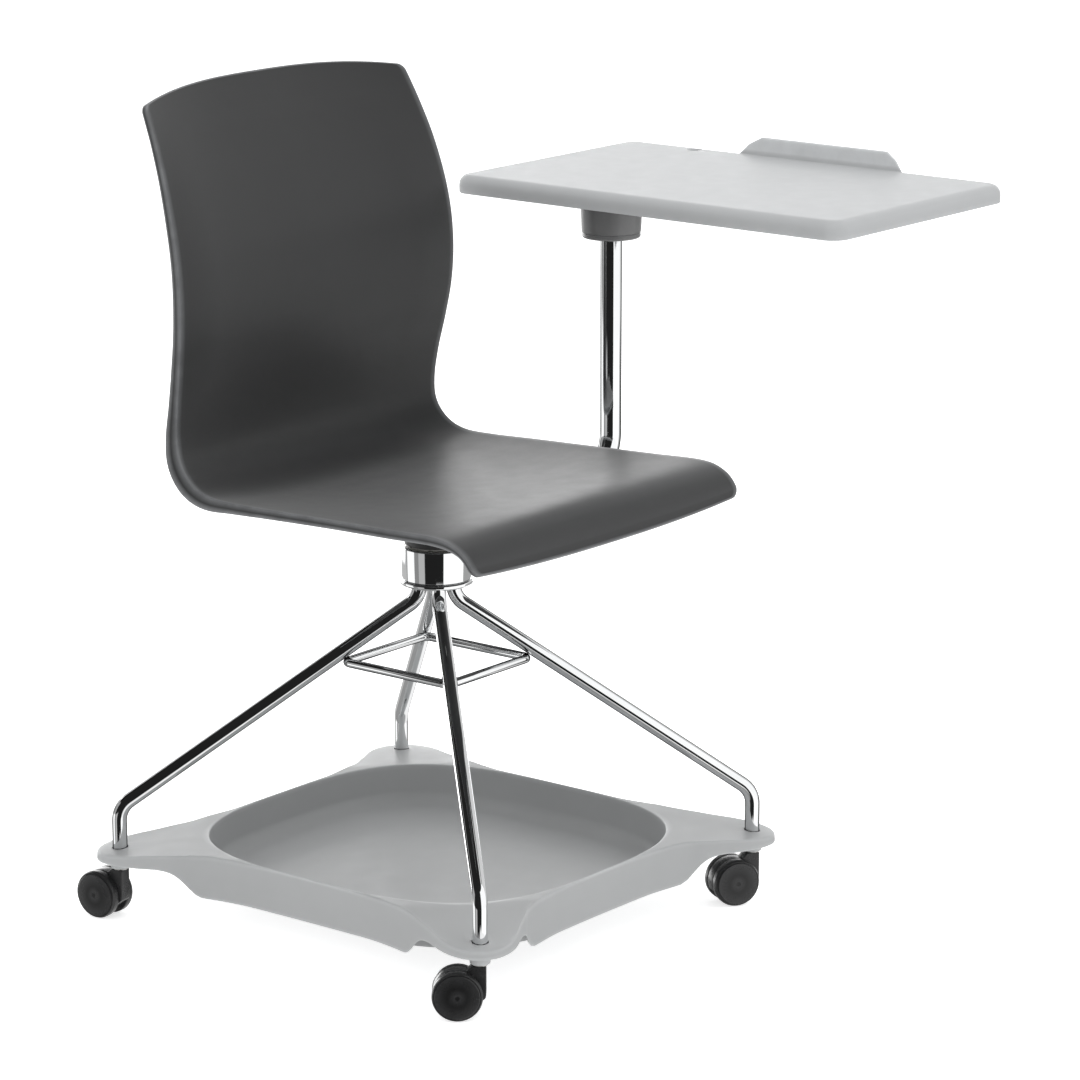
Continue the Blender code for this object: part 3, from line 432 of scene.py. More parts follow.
def sweep(path, radius, sides=36, closed=False, start=None, end=None, build=None):
    """A round bar along a path. `start` and `end` are (depth into the bar, radius) pairs from its axis out."""
    build = build or Build()
    path = [Vector(p) for p in path]
    count = len(path)
    tangents = []
    for i in range(count):
        before = path[i - 1] if (closed or i) else path[i]
        after = path[(i + 1) % count] if (closed or i < count - 1) else path[i]
        a = (path[i] - before).normalized() if (path[i] - before).length > 0 else Vector((0, 0, 0))
        b = (after - path[i]).normalized() if (after - path[i]).length > 0 else Vector((0, 0, 0))
        tangents.append((a + b).normalized())
    side = tangents[0].orthogonal().normalized()
    frames = []
    for i in range(count):
        if i:
            turn = tangents[i - 1].rotation_difference(tangents[i])
            side = turn @ side
            side = (side - tangents[i] * side.dot(tangents[i])).normalized()
        frames.append((side.copy(), tangents[i].cross(side)))
    def ring(at, frame, r):
        u, v = frame
        return build.ring([at + (u * math.cos(2 * math.pi * k / sides) + v * math.sin(2 * math.pi * k / sides)) * r for k in range(sides)])
    rings = []
    chamfer = [(0, 0), (0, radius - 0.0007), (0.0002, radius - 0.0002), (0.0007, radius)]
    if not closed:
        start, end = start or chamfer, end or chamfer
        for depth, r in start:
            if r > 1e-7:
                rings.append(ring(path[0] + tangents[0] * depth, frames[0], r))
    inner = range(count) if closed else range(1, count - 1)
    for i in inner:
        rings.append(ring(path[i], frames[i], radius))
    if not closed:
        for depth, r in reversed(end):
            if r > 1e-7:
                rings.append(ring(path[-1] - tangents[-1] * depth, frames[-1], r))
    build.bands(rings)
    if closed:
        # the last frame may have turned against the first: match the nearest points
        first, last = rings[0], rings[-1]
        ends = [Vector(build.points[k]) for k in last]
        start_at = Vector(build.points[first[0]])
        shift = min(range(sides), key=lambda k: (ends[k] - start_at).length)
        build.band([last[(k + shift) % sides] for k in range(sides)], first)
    else:
        build.fan(rings[0], path[0] + tangents[0] * start[0][0])
        build.fan(rings[-1], path[-1] - tangents[-1] * end[0][0])
    return build


def smooth_rows(rows, count):
    """Catmull-Rom through the rows at `count` even steps of the row number."""
    rows = np.array(rows, float)
    last = len(rows) - 1
    u = np.linspace(0, last, count)
    k = np.minimum(u.astype(int), last - 1)
    t = (u - k)[:, None]
    p0, p1, p2, p3 = rows[np.maximum(k - 1, 0)], rows[k], rows[k + 1], rows[np.minimum(k + 2, last)]
    return 0.5 * (2 * p1 + (p2 - p0) * t + (2 * p0 - 5 * p1 + 4 * p2 - p3) * t**2 + (3 * p1 - p0 - 3 * p2 + p3) * t**3)


# ---------------------------------------------------------------- seat shell
_table = smooth_rows(SHELL_STATIONS, 6001)
_table[:, 2] += np.interp(_table[:, 1], (0.60, 0.68, 0.86, 0.90), (0.0, 0.0012, 0.0014, 0.0010))  # the back's moulded rim stands a little proud
_run = np.concatenate([[0], np.cumsum(np.hypot(*np.diff(_table[:, :2], axis=0).T))])
SHELL_LENGTH = _run[-1]
_row = np.linspace(0, 31, len(_run))  # the number of the CAD part's row, which its arch and bow go by
_top = np.where(_row > 16, np.maximum(0, (_table[:, 1] - 0.76) / 0.122) ** 1.5, np.minimum(0, (_row - 4) / 4))
_table[:, 5] += np.interp(_run, (0, 0.02, 0.05, 0.34, 0.40), (-0.0010, -0.0010, 0.0010, 0.0010, 0.0))
_along = np.gradient(_table[:, :2], _run, axis=0)
_along /= np.linalg.norm(_along, axis=1)[:, None]


def shell_at(s, x):
    """Points of the shell's upper face at distance s along its rim from the front, x from the middle."""
    inside = np.clip(s, 0, SHELL_LENGTH)
    y, z, half, sag, roll = (np.interp(inside, _run, _table[:, c]) for c in range(5))
    ay, az = np.interp(inside, _run, _along[:, 0]), np.interp(inside, _run, _along[:, 1])
    top = np.interp(inside, _run, _top)
    a = np.abs(x / half)
    ease = np.maximum(0.0, (a - 0.72) / 0.28)
    depth = sag * (1 - a**2.4) - roll * (1 - ease * ease)
    rise = BACK_ARCH * np.maximum(top, 0) * (1 - a**2.6) + FRONT_BOW * np.minimum(top, 0) * (1 - a**2.4)
    rise = rise + (s - inside)
    return np.stack([x, y + az * depth + ay * rise, z - ay * depth + az * rise], -1)


def shell_normal(s, x):
    d = 0.0012
    along = shell_at(s + d, x) - shell_at(s - d, x)
    across = shell_at(s, x + d) - shell_at(s, x - d)
    n = np.cross(across, along)
    return n / np.linalg.norm(n, axis=-1, keepdims=True)


FRONT_CORNER, TOP_CORNER, TOP_MORE = 0.0110, 0.0075, 0.0016
SHELL_COLUMNS = np.linspace(-1, 1, 65)


def shell_sheet(inset):
    """(s, x) of a grid over the shell, its edge that far inside the outline."""
    rows = []
    k = np.radians(np.linspace(0, 90, 9))
    front, top = FRONT_CORNER - inset, TOP_CORNER - inset
    for a in k[:-1]:
        rows.append((inset + front * (1 - math.cos(a)), front * (1 - math.sin(a))))
    for s in np.linspace(FRONT_CORNER, SHELL_LENGTH + TOP_MORE - TOP_CORNER, 132):
        rows.append((s, 0.0))
    for a in k[:-1][::-1]:
        rows.append((SHELL_LENGTH + TOP_MORE - inset - top * (1 - math.cos(a)), top * (1 - math.sin(a))))
    s = np.array([r[0] for r in rows])
    half = np.interp(s, _run, _table[:, 2]) - inset - np.array([r[1] for r in rows])
    return np.repeat(s[:, None], len(SHELL_COLUMNS), 1), half[:, None] * SHELL_COLUMNS[None, :]


def around(grid):
    """The grid's outer loop, once round."""
    return np.concatenate([grid[0, :-1], grid[:-1, -1], grid[-1, :0:-1], grid[:0:-1, 0]])


def make_shell():
    build = Build()
    outer_r, lower_r, wall, fillet = 0.0019, 0.0009, 0.0034, 0.0022
    s, x = shell_sheet(outer_r)
    upper = shell_at(s, x)
    rows, columns = s.shape
    ids = np.array(build.ring(upper.reshape(-1, 3))).reshape(rows, columns)
    for i in range(rows - 1):
        for j in range(columns - 1):
            build.faces.append((ids[i, j], ids[i, j + 1], ids[i + 1, j + 1], ids[i + 1, j]))
    outline = shell_sheet(0.0)
    loop_s = around(outline[0])
    edge = np.maximum(np.interp(loop_s, _run, _table[:, 5]), SHELL_T + 0.0006)
    rise = edge - SHELL_T
    low_b, in_b = np.minimum(lower_r, rise / 2), np.minimum(fillet, rise / 2)
    steps = []
    for t in np.radians([18, 36, 54, 72, 90]):
        steps.append((outer_r * (1 - math.sin(t)), outer_r * (1 - math.cos(t)) + 0 * edge))
    steps.append((0.0, outer_r + (edge - outer_r - lower_r) * 0.5))
    for t in np.radians([0, 30, 60, 90]):
        steps.append((lower_r * (1 - math.cos(t)), edge - lower_r + lower_r * math.sin(t)))
    for t in np.radians([0, 30, 60, 90]):
        steps.append((wall - lower_r + lower_r * math.sin(t), edge - low_b * (1 - math.cos(t))))
    for t in np.radians([0, 22, 45, 68, 90]):
        steps.append((wall + fillet * (1 - math.cos(t)), SHELL_T + in_b * (1 - math.sin(t))))
    previous = list(around(ids))
    for inset, depth in steps[:-1]:
        gs, gx = shell_sheet(inset)
        ls, lx = around(gs), around(gx)
        ring = build.ring(shell_at(ls, lx) - shell_normal(ls, lx) * depth[:, None])
        build.band(previous, ring)
        previous = ring
    s, x = shell_sheet(wall + fillet)
    lower = shell_at(s, x) - shell_normal(s, x) * SHELL_T
    ids = np.array(build.ring(lower.reshape(-1, 3))).reshape(rows, columns)
    for i in range(rows - 1):
        for j in range(columns - 1):
            build.faces.append((ids[i, j], ids[i + 1, j], ids[i + 1, j + 1], ids[i, j + 1]))
    build.band(previous, list(around(ids)))
    return piece("shell_moulding", build, "seat", "shell", ["seat_shell"], sharp=50)


make_shell()
for n, (sx, sy) in enumerate(((1, 1), (-1, 1), (-1, -1), (1, -1)), 1):
    top = 0.4715 if sy < 0 else 0.4642
    profile = soften([(0.0030, PLATE_TOP_Z + GAP), (0.0098, PLATE_TOP_Z + GAP), (0.0104, top - 0.0035), (0.0135, top), (0.0030, top)], [0, 0.0008, 0.0030, 0.0004, 0], 4, closed=True)
    at = Matrix.Translation((sx * BOSS_XY, sy * BOSS_XY, 0))
    piece(f"shell_boss_{n}", lathe(profile, 40, closed=True), "seat", "shell", shape=at)

# ---------------------------------------------------------------- legs and brace
leg_reach = math.hypot(LEG_X, LEG_Y)
ex, ey = LEG_X / leg_reach, LEG_Y / leg_reach
leg_slope = (LEG_NECK_Z - LEG_KNEE_Z) / (leg_reach - LEG_NECK_R)
for corner, (sx, sy) in CORNERS.items():
    out = Vector((sx * ex, sy * ey, 0))
    path = filleted(
        [
            out * leg_reach + Vector((0, 0, LEG_FOOT_Z)),
            out * leg_reach + Vector((0, 0, LEG_KNEE_Z)),
            out * LEG_NECK_R + Vector((0, 0, LEG_NECK_Z)),
            out * LEG_NECK_R + Vector((0, 0, LEG_TOP_Z)),
        ],
        (LEG_BEND, LEG_BEND),
    )
    socket = [(0.0366, 0), (0.0366, STEM_R + GAP), (0.0003, STEM_R + GAP), (0, STEM_R + 0.0006), (0, LEG_R - 0.0008), (0.0003, LEG_R - 0.0002), (0.0008, LEG_R)]
    piece("chrome_leg_" + corner, sweep(path, LEG_R, 40, start=socket), "base", "tube" if sx * sy < 0 else "chrome", ["leg_" + corner], sharp=45)

leg_z = LEG_KNEE_Z + leg_slope * (leg_reach - BRACE_CORNER_R)
brace_z = leg_z - (LEG_R + BRACE_ROD_R + GAP) * math.sqrt(1 + leg_slope**2)
spare = BRACE_BEND * (math.sqrt(2) - 1) * 0.7
bx, by = BRACE_CORNER_R * ex + spare, BRACE_CORNER_R * ey + spare
loop = [(bx, by, brace_z), (-bx, by, brace_z), (-bx, -by, brace_z), (bx, -by, brace_z)]
begin = (bx - 0.03, by, brace_z)
path = filleted([begin, *loop[1:], loop[0], begin], [BRACE_BEND] * 4, 6.0)[:-1]
piece("chrome_brace", sweep(path, BRACE_ROD_R, 28, closed=True), "base", "tube", ["brace_ring"], sharp=45)

# ---------------------------------------------------------------- hub
low, high = HUB_RING_Z
profile = soften([(HUB_RING_R, high), (HUB_RING_R, low), (0.0275, low), (0.0275, high)], [0.0024, 0.0024, 0.0012, 0.0006], 6, closed=True)
piece("hub_bead_ring", lathe(profile, 96, closed=True), "base", "chrome", ["hub_bottom_ring"])
low, high = HUB_COVER_Z
profile = soften([(HUB_CORE_R + GAP, high), (HUB_COVER_R, high), (HUB_COVER_R, low), (HUB_CORE_R + GAP, low)], [0.0004, 0.0012, 0.0007, 0.0003], 5, closed=True)
piece("hub_chrome_cover", lathe(profile, 96, closed=True), "base", "chrome", ["hub_cover"])

# ---------------------------------------------------------------- tray
EAR = ((0.265, 0.064), (0.290, 0.0545), (0.310, 0.0470), (0.333, 0.0395), (0.351, 0.0300), (0.3645, 0.0165), (0.3690, 0.0))
SIDE_X = ((0.2156, 0.0), (0.2158, 0.045), (0.2166, 0.085), (0.2208, 0.1180))
SIDE_Y = ((0.0900, 0.2288), (0.0600, 0.2272), (0.0300, 0.2268), (0.0, 0.2266))
SWEEP = ((0.2500, 0.0400), (0.2575, 0.0402), (0.264, 0.0425), (0.272, 0.0495), (0.281, 0.0582), (0.291, 0.0642), (0.304, 0.0666), (0.320, EAR_EDGE_Z + 0.0003), (0.400, EAR_EDGE_Z + 0.0003))


def from_ear(s, p):
    return (s * ex + p * ey, s * ey - p * ex)


def make_tray():
    quarter = [*SIDE_X] + [from_ear(s, p) for s, p in EAR] + [from_ear(s, -p) for s, p in reversed(EAR[:-1])] + [*SIDE_Y]
    quarter = smooth_rows(quarter, 96)
    outline = []
    for sx, sy, flip in ((1, 1, 0), (-1, 1, 1), (-1, -1, 0), (1, -1, 1)):
        part = quarter * (sx, sy)
        outline.append((part[::-1] if flip else part)[:-1])
    outline = np.concatenate(outline)
    rim = np.hypot(*outline.T)
    c, s = (outline / rim[:, None]).T
    bowl = ((np.abs(c) / BOWL_A) ** BOWL_N + (np.abs(s) / BOWL_B) ** BOWL_N) ** (-1 / BOWL_N)

    def out_along(r):
        return np.abs(r * c) * ex + np.abs(r * s) * ey

    def web(r):
        return RIM_Z - EAR_SLOPE * np.maximum(0.0, out_along(r) - 0.250)

    build = Build()

    def ring(r, z):
        r, z = r + 0 * rim, z + 0 * rim
        return build.ring(np.stack([r * c, r * s, z], -1))

    rings = []
    for share, z in ((0.04, 0.0012), (0.15, 0.0012), (0.30, 0.0012), (0.42, 0.0011), (0.55, 0.0008), (0.68, 0.0004), (0.79, 0.0001), (0.86, 0.0)):
        rings.append(ring(bowl * share, FLOOR_Z + z))
    for t in np.radians(np.linspace(4, 90, 13)):
        rings.append(ring(bowl * (0.896 + 0.0905 * math.sin(t)), FLOOR_Z + 0.0150 * (1 - math.cos(t))))
    wall = bowl * 0.998
    room = rim - wall
    rim_r, lip_r = np.minimum(0.0017, room * 0.42), np.minimum(0.0030, room * 0.48)
    for share in (0.3, 0.6, 0.85):
        z = FLOOR_Z + 0.0150 + (RIM_Z - 0.0017 - FLOOR_Z - 0.0150) * share
        rings.append(ring(bowl * (0.9865 + 0.0115 * share), z))
    for t in np.radians([0, 22.5, 45, 67.5, 90]):
        rings.append(ring(wall + rim_r * (1 - math.cos(t)), RIM_Z - rim_r * (1 - math.sin(t))))
    start, stop = wall + rim_r, rim - lip_r
    for share in (0.06, 0.2, 0.4, 0.6, 0.8, 0.94, 1.0):
        r = start + (stop - start) * share
        rings.append(ring(r, web(r)))
    edge_top = web(rim)
    for t in np.radians([18, 36, 54, 72, 90]):
        rings.append(ring(rim - lip_r * (1 - math.sin(t)), edge_top - lip_r * (1 - math.cos(t))))
    table = smooth_rows(SWEEP, 400)
    low = np.interp(out_along(rim), table[:, 0], table[:, 1])
    under_r = 0.0009
    side_top, side_low = edge_top - lip_r, low + under_r
    for share in (0.06, 0.5, 0.94, 1.0):
        rings.append(ring(rim * (1 + 0.001 * share), side_top + (side_low - side_top) * share))
    out = rim * 1.001
    for t in np.radians([30, 60, 90]):
        rings.append(ring(out - under_r * (1 - math.cos(t)), side_low - under_r * math.sin(t)))
    skirt = np.where(rim < 0.30, 0.0040, 0.0034)
    inner_wall = rim - skirt
    pocket_in = bowl + 0.0042
    width = inner_wall - pocket_in
    t = np.clip((width - 0.0030) / 0.0110, 0, 1)
    hollow = t * t * (3 - 2 * t)
    pocket_in = np.minimum(pocket_in, inner_wall - 0.0065)
    base = TRAY_BASE_Z + 0 * rim
    ceiling = web(inner_wall) - WEB_T
    # up the skirt's inner face, across under the web, and down the bowl's outer wall
    def pocket(r, share, floor):
        roof = web(r) - WEB_T
        return ring(r, floor + (roof - floor) * hollow * share)
    rings.append(pocket(inner_wall + 0.0008, 0.0, low))
    rings.append(pocket(inner_wall + 0.0002, 0.03, low))
    rings.append(pocket(inner_wall, 0.10, low))
    rings.append(pocket(inner_wall, 0.80, low))
    rings.append(pocket(inner_wall - 0.0004, 0.93, low))
    rings.append(pocket(inner_wall - 0.0016, 1.0, low))
    for share in (0.25, 0.5, 0.75):
        r = inner_wall - 0.0016 + (pocket_in + 0.0016 - inner_wall + 0.0016) * share
        floor = low + (base - low) * share
        rings.append(pocket(r, 1.0, floor))
    rings.append(pocket(pocket_in + 0.0016, 1.0, base))
    rings.append(pocket(pocket_in + 0.0004, 0.95, base))
    rings.append(pocket(pocket_in, 0.85, base))
    rings.append(pocket(pocket_in, 0.06, base))
    rings.append(pocket(pocket_in - 0.0006, 0.0, base))
    for share in (0.97, 0.80, 0.55, 0.30, 0.06):
        rings.append(ring((pocket_in - 0.0006) * share, base))
    build.bands(rings)
    build.fan(rings[0], (0, 0, FLOOR_Z + 0.0012))
    build.fan(rings[-1], (0, 0, TRAY_BASE_Z))
    cuts = []
    for corner, (sx, sy) in CORNERS.items():
        hole = Build()
        turn = math.atan2(sy * LEG_Y, sx * LEG_X) + math.radians(22.5)
        r = [hole.ring([(sx * LEG_X + 0.0094 * math.cos(turn + k * math.pi / 4), sy * LEG_Y + 0.0094 * math.sin(turn + k * math.pi / 4), z) for k in range(8)]) for z in (0.050, 0.100)]
        hole.bands(r)
        hole.cap(r[0])
        hole.cap(r[1])
        cuts.append((hole, "DIFFERENCE"))
    return piece("tray_moulding", build, "base", "tray", ["storage_tray"], sharp=32, cuts=cuts)


make_tray()
for corner, (sx, sy) in CORNERS.items():
    profile = soften([(0.0089, BOSS_Z), (0.0106, BOSS_Z), (0.0121, 0.0700), (0.0140, 0.0748), (0.0140, 0.0764), (0.0089, 0.0764)], [0, 0.0005, 0.004, 0.0003, 0.0002, 0], 4, closed=True)
    piece("tray_boss_" + corner, lathe(profile, 40, closed=True), "base", "tray", shape=Matrix.Translation((sx * LEG_X, sy * LEG_Y, 0)))


# ---------------------------------------------------------------- castors
def inset_loop(points, distance):
    """A flat outline moved inwards, for a rounded edge."""
    at = [Vector(p) for p in points]
    area = sum(a.x * b.y - b.x * a.y for a, b in zip(at, at[1:] + at[:1]))
    sign = 1 if area > 0 else -1
    out = []
    for i, p in enumerate(at):
        a, b = (p - at[i - 1]).normalized(), (at[(i + 1) % len(at)] - p).normalized()
        na, nb = Vector((-a.y, a.x)) * sign, Vector((-b.y, b.x)) * sign
        n = (na + nb).normalized()
        out.append(p + n * distance / max(0.5, n.dot(na)))
    return out


hood = [(-0.0058, 0.0200), (-0.0064, 0.0260), (-0.0064, 0.0543), (0.0080, 0.0543)]
for i in range(37):
    a = math.radians(110 - i * 130 / 36)
    hood.append((CASTOR_TRAIL + HOOD_R * math.cos(a), CASTOR_R - OFF.z + HOOD_R * math.sin(a)))
hood += [(0.0420, 0.0110), (0.0245, 0.0070), (0.0080, 0.0090)]
radii = [0.004, 0.004, 0.0012, 0.004] + [0] * 37 + [0.003, 0.006, 0.006]
hood = soften(hood, radii, 5, closed=True)
wheel = soften(
    [
        (0, 0.01105), (0.0022, 0.01105), (0.0028, 0.0112), (0.0100, 0.01115), (0.0226, 0.0108), (0.0234, 0.0102), (0.0235, 0.0094),
        (0.0240, 0.0093), (0.0242, 0.0099), (0.0252, 0.0092), (0.0262, 0.0068), (0.0262, 0.0010), (0.0254, 0.0),
        (0.0033, 0.0), (0.0033, 0.0082), (0, 0.0082),
    ],
    [0, 0.0002, 0.0003, 0.02, 0.0008, 0.0004, 0.0002, 0.0002, 0.0003, 0.0012, 0.0016, 0.0008, 0.0006, 0.0003, 0.0003, 0],
    4,
)
for corner, (sx, sy) in CORNERS.items():
    turn = math.radians(CASTOR_HEADING[corner])
    ahead = Vector((math.cos(turn), math.sin(turn), 0))
    foot = Vector((sx * LEG_X, sy * LEG_Y, 0))
    axle_at = foot + ahead * CASTOR_TRAIL + Vector((0, 0, CASTOR_R - OFF.z))
    stand = Matrix.Translation(foot) @ Matrix.Rotation(turn, 4, "Z") @ Matrix.Rotation(math.pi / 2, 4, "X")
    build = Build()
    rings = []
    r = 0.0011
    for side in (-1, 1):
        layers = []
        for t in np.radians([0, 22.5, 45, 67.5, 90]):
            layers.append((r * (1 - math.sin(t)), side * (HOOD_T / 2 - r * (1 - math.cos(t)))))
        if side > 0:
            layers.reverse()
        for inset, z in layers:
            rings.append(build.ring([(p.x, p.y, z) for p in inset_loop(hood, inset)]))
    build.bands(rings)
    build.cap(rings[0])
    build.cap(rings[-1])
    bore = lathe([(0, 0.0315), (STEM_R + GAP, 0.0315), (STEM_R + GAP, 0.06), (0, 0.06)], 32)
    bore.points = [tuple(Vector(p) + foot) for p in bore.points]
    across = lathe([(0, -0.02), (0.0033, -0.02), (0.0033, 0.02), (0, 0.02)], 32)
    lay = Matrix.Translation(axle_at) @ Matrix.Rotation(turn, 4, "Z") @ Matrix.Rotation(math.pi / 2, 4, "X")
    across.points = [tuple(lay @ Vector(p)) for p in across.points]
    piece("castor_frame_" + corner, build, "castor_" + corner, "black", ["castor_hood_" + corner], sharp=45, shape=stand, cuts=[(bore, "DIFFERENCE"), (across, "DIFFERENCE")])
    for which, sign in (("a", 1), ("b", -1)):
        shape = (
            Matrix.Translation(axle_at)
            @ Matrix.Rotation(turn, 4, "Z")
            @ Matrix.Translation((0, sign * (HOOD_T / 2 + GAP), 0))
            @ Matrix.Rotation(-sign * math.pi / 2, 4, "X")
        )
        piece(f"castor_disc_{which}_{corner}", lathe(wheel, 72), f"wheel_{which}_{corner}", "tread", [f"castor_wheel_{which}_{corner}"], shape=shape)

# ---------------------------------------------------------------- arm
reach, swing = math.hypot(POST_X, POST_Y), math.atan2(POST_Y, POST_X)
path = filleted([(COLLAR_R - 0.0018, 0, ARM_Z), (reach, 0, ARM_Z), (reach, 0, POST_TOP_Z)], (ARM_BEND,))
inner = TUBE_R - TUBE_WALL
mouth = [(0.020, 0), (0.020, inner), (0.0004, inner), (0, inner + 0.0004), (0, TUBE_R - 0.0006), (0.0002, TUBE_R - 0.0002), (0.0006, TUBE_R)]
piece("chrome_arm", sweep(path, TUBE_R, 48, end=mouth), "arm", "tube", ["arm_tube"], sharp=45, shape=Matrix.Rotation(swing, 4, "Z"))
profile = soften([(SPINDLE_R + GAP, 0.4306), (COLLAR_R, 0.4306), (COLLAR_R, 0.4093), (SPINDLE_R + GAP, 0.4093)], [0.0004, 0.0014, 0.0014, 0.0004], 5, closed=True)
piece("arm_hub_collar", lathe(profile, 80, closed=True), "arm", "paint", ["arm_collar"])

# ---------------------------------------------------------------- tablet
EDGE_R = 0.0118


def tablet_outline():
    """(kind, u) along the outline, anticlockwise: a side's share, or a corner's angle."""
    marks = []
    def side(axis, sign, values):
        marks.extend(("side", axis, sign, v) for v in values)
    def corner(sx, sy, first):
        for k in range(1, 16):
            marks.append(("corner", sx, sy, math.radians(first + 90 * k / 16)))
    span_y, span_x = TAB_Y[1] - TAB_Y[0] - 2 * TAB_CORNER, TAB_X[1] - TAB_X[0] - 2 * TAB_CORNER
    ends = [LIP_Y[0] - 0.010, LIP_Y[0] + LIP_SLOPE[0] + 0.012, LIP_Y[1] - LIP_SLOPE[1] - 0.014, LIP_Y[1] + 0.012]
    y0, y1 = TAB_Y[0] + TAB_CORNER, TAB_Y[1] - TAB_CORNER
    ys = np.concatenate([np.linspace(y0, ends[0], 7)[:-1], np.linspace(ends[0], ends[1], 36)[:-1], np.linspace(ends[1], ends[2], 14)[:-1], np.linspace(ends[2], ends[3], 44)[:-1], np.linspace(ends[3], y1, 9)])
    side("x", 1, (ys - y0) / (y1 - y0))
    corner(1, 1, 0)
    side("y", 1, np.linspace(1, 0, 17))
    corner(-1, 1, 90)
    side("x", -1, np.linspace(1, 0, 27))
    corner(-1, -1, 180)
    side("y", -1, np.linspace(0, 1, 17))
    corner(1, -1, 270)
    return marks


MARKS = tablet_outline()


def tablet_ring(inset):
    r = max(TAB_CORNER - inset, 0.0045)
    x0, x1, y0, y1 = TAB_X[0] + inset, TAB_X[1] - inset, TAB_Y[0] + inset, TAB_Y[1] - inset
    out = []
    for kind, a, b, v in MARKS:
        if kind == "corner":
            cx, cy = (x1 - r if a > 0 else x0 + r), (y1 - r if b > 0 else y0 + r)
            out.append((cx + r * math.cos(v), cy + r * math.sin(v)))
        elif a == "x":
            # the long sides keep their places, so that the lip's lines stay square to the edge
            y = TAB_Y[0] + TAB_CORNER + v * (TAB_Y[1] - TAB_Y[0] - 2 * TAB_CORNER)
            out.append((x1 if b > 0 else x0, min(max(y, y0 + r), y1 - r)))
        else:
            x = TAB_X[0] + TAB_CORNER + v * (TAB_X[1] - TAB_X[0] - 2 * TAB_CORNER)
            out.append((min(max(x, x0 + r), x1 - r), y1 if b > 0 else y0))
    return out


def ramp(t):
    """The lip's end, from 0 to 1: steep then easing, its corners rounded."""
    grid = np.linspace(-1, 2, 601)
    line = np.interp(grid, [-1, 0, 0.45, 1, 2], [0, 0, 0.62, 1, 1])
    width = 39
    kernel = np.hanning(width + 2)[1:-1]
    soft = np.convolve(np.pad(line, width // 2, mode="edge"), kernel / kernel.sum(), "valid")
    return float(np.interp(t, grid, soft))


def lip_share(mark, y):
    kind, a, b, _ = mark
    if kind != "side" or a != "x" or b < 0:
        return 0.0
    return min(ramp((y - LIP_Y[0]) / LIP_SLOPE[0]), ramp((LIP_Y[1] - y) / LIP_SLOPE[1]))


# inset from the edge, share of the lip's height there
LIP_FACE = (
    (0.0000, 0.0), (0.0004, 0.0), (0.00085, 0.02), (0.00105, 0.12), (0.00115, 0.45), (0.00122, 0.78), (0.00130, 0.90), (0.00155, 0.955),
    (0.00205, 0.985), (0.0027, 1.0), (0.0034, 1.0), (0.0041, 0.985), (0.0046, 0.955), (0.0050, 0.90), (0.0053, 0.80), (0.0056, 0.60),
    (0.0060, 0.38), (0.0065, 0.20), (0.0073, 0.09), (0.0085, 0.025), (0.0100, 0.004), (0.0118, 0.0),
)


def make_tablet():
    build = Build()
    top = TAB_Z[1]

    def edge_z(inset):
        k = min(1.0, 1 - inset / EDGE_R)
        return -EDGE_R * (1 - math.sqrt(max(0.0, 1 - max(k, 0.0) ** 2)))

    def lip_z(inset, share):
        base = edge_z(inset)
        return base + (LIP_H - base) * share

    rings = []
    for inset in (0.050, 0.030, 0.0150):
        rings.append(build.ring([(x, y, top) for x, y in tablet_ring(inset)]))
    build.cap(rings[0])
    for inset, share in reversed(LIP_FACE):
        row = []
        for mark, (x, y) in zip(MARKS, tablet_ring(inset)):
            q = lip_share(mark, y)
            row.append((x, y, top + (1 - q) * edge_z(inset) + q * lip_z(inset, share)))
        rings.append(build.ring(row))
    low = TAB_Z[0]
    for z in (low + 0.0055, low + 0.0014):
        rings.append(build.ring([(x, y, z) for x, y in tablet_ring(0.0)]))
    for t in np.radians([30, 60, 90]):
        rings.append(build.ring([(x, y, low + 0.0014 * (1 - math.sin(t))) for x, y in tablet_ring(0.0014 * (1 - math.cos(t)))]))
    for t in np.radians([0, 45, 90]):
        rings.append(build.ring([(x, y, low + 0.0007 * (1 - math.cos(t))) for x, y in tablet_ring(TAB_WALL - 0.0007 + 0.0007 * math.sin(t))]))
    ceiling = top - TAB_PLATE_T
    rings.append(build.ring([(x, y, ceiling - 0.0060) for x, y in tablet_ring(TAB_WALL + 0.0010)]))
    for t in np.radians([15, 30, 45, 60, 75, 90]):
        rings.append(build.ring([(x, y, ceiling - 0.0060 * (1 - math.sin(t))) for x, y in tablet_ring(TAB_WALL + 0.0010 + 0.0060 * (1 - math.cos(t)))]))
    for inset in (0.0150, 0.030, 0.050):
        rings.append(build.ring([(x, y, ceiling) for x, y in tablet_ring(inset)]))
    build.bands(rings)
    build.cap(rings[-1])
    hole = lathe(
        [(0, 0.72), (HOLE_R, 0.72), (HOLE_R, top - 0.0016)]
        + [(HOLE_R + 0.0016 * (1 - math.cos(t)), top - 0.0016 * (1 - math.sin(t))) for t in np.radians([22.5, 45, 67.5, 90])]
        + [(HOLE_R + 0.0016, top + 0.01), (0, top + 0.01)],
        48,
    )
    hole.points = [(x + HOLE_X, y + HOLE_Y, z) for x, y, z in hole.points]
    cuts = [(hole, "DIFFERENCE")]
    return piece("tablet_moulding", build, "tablet", "tablet", ["tablet_top"], sharp=40, cuts=cuts)


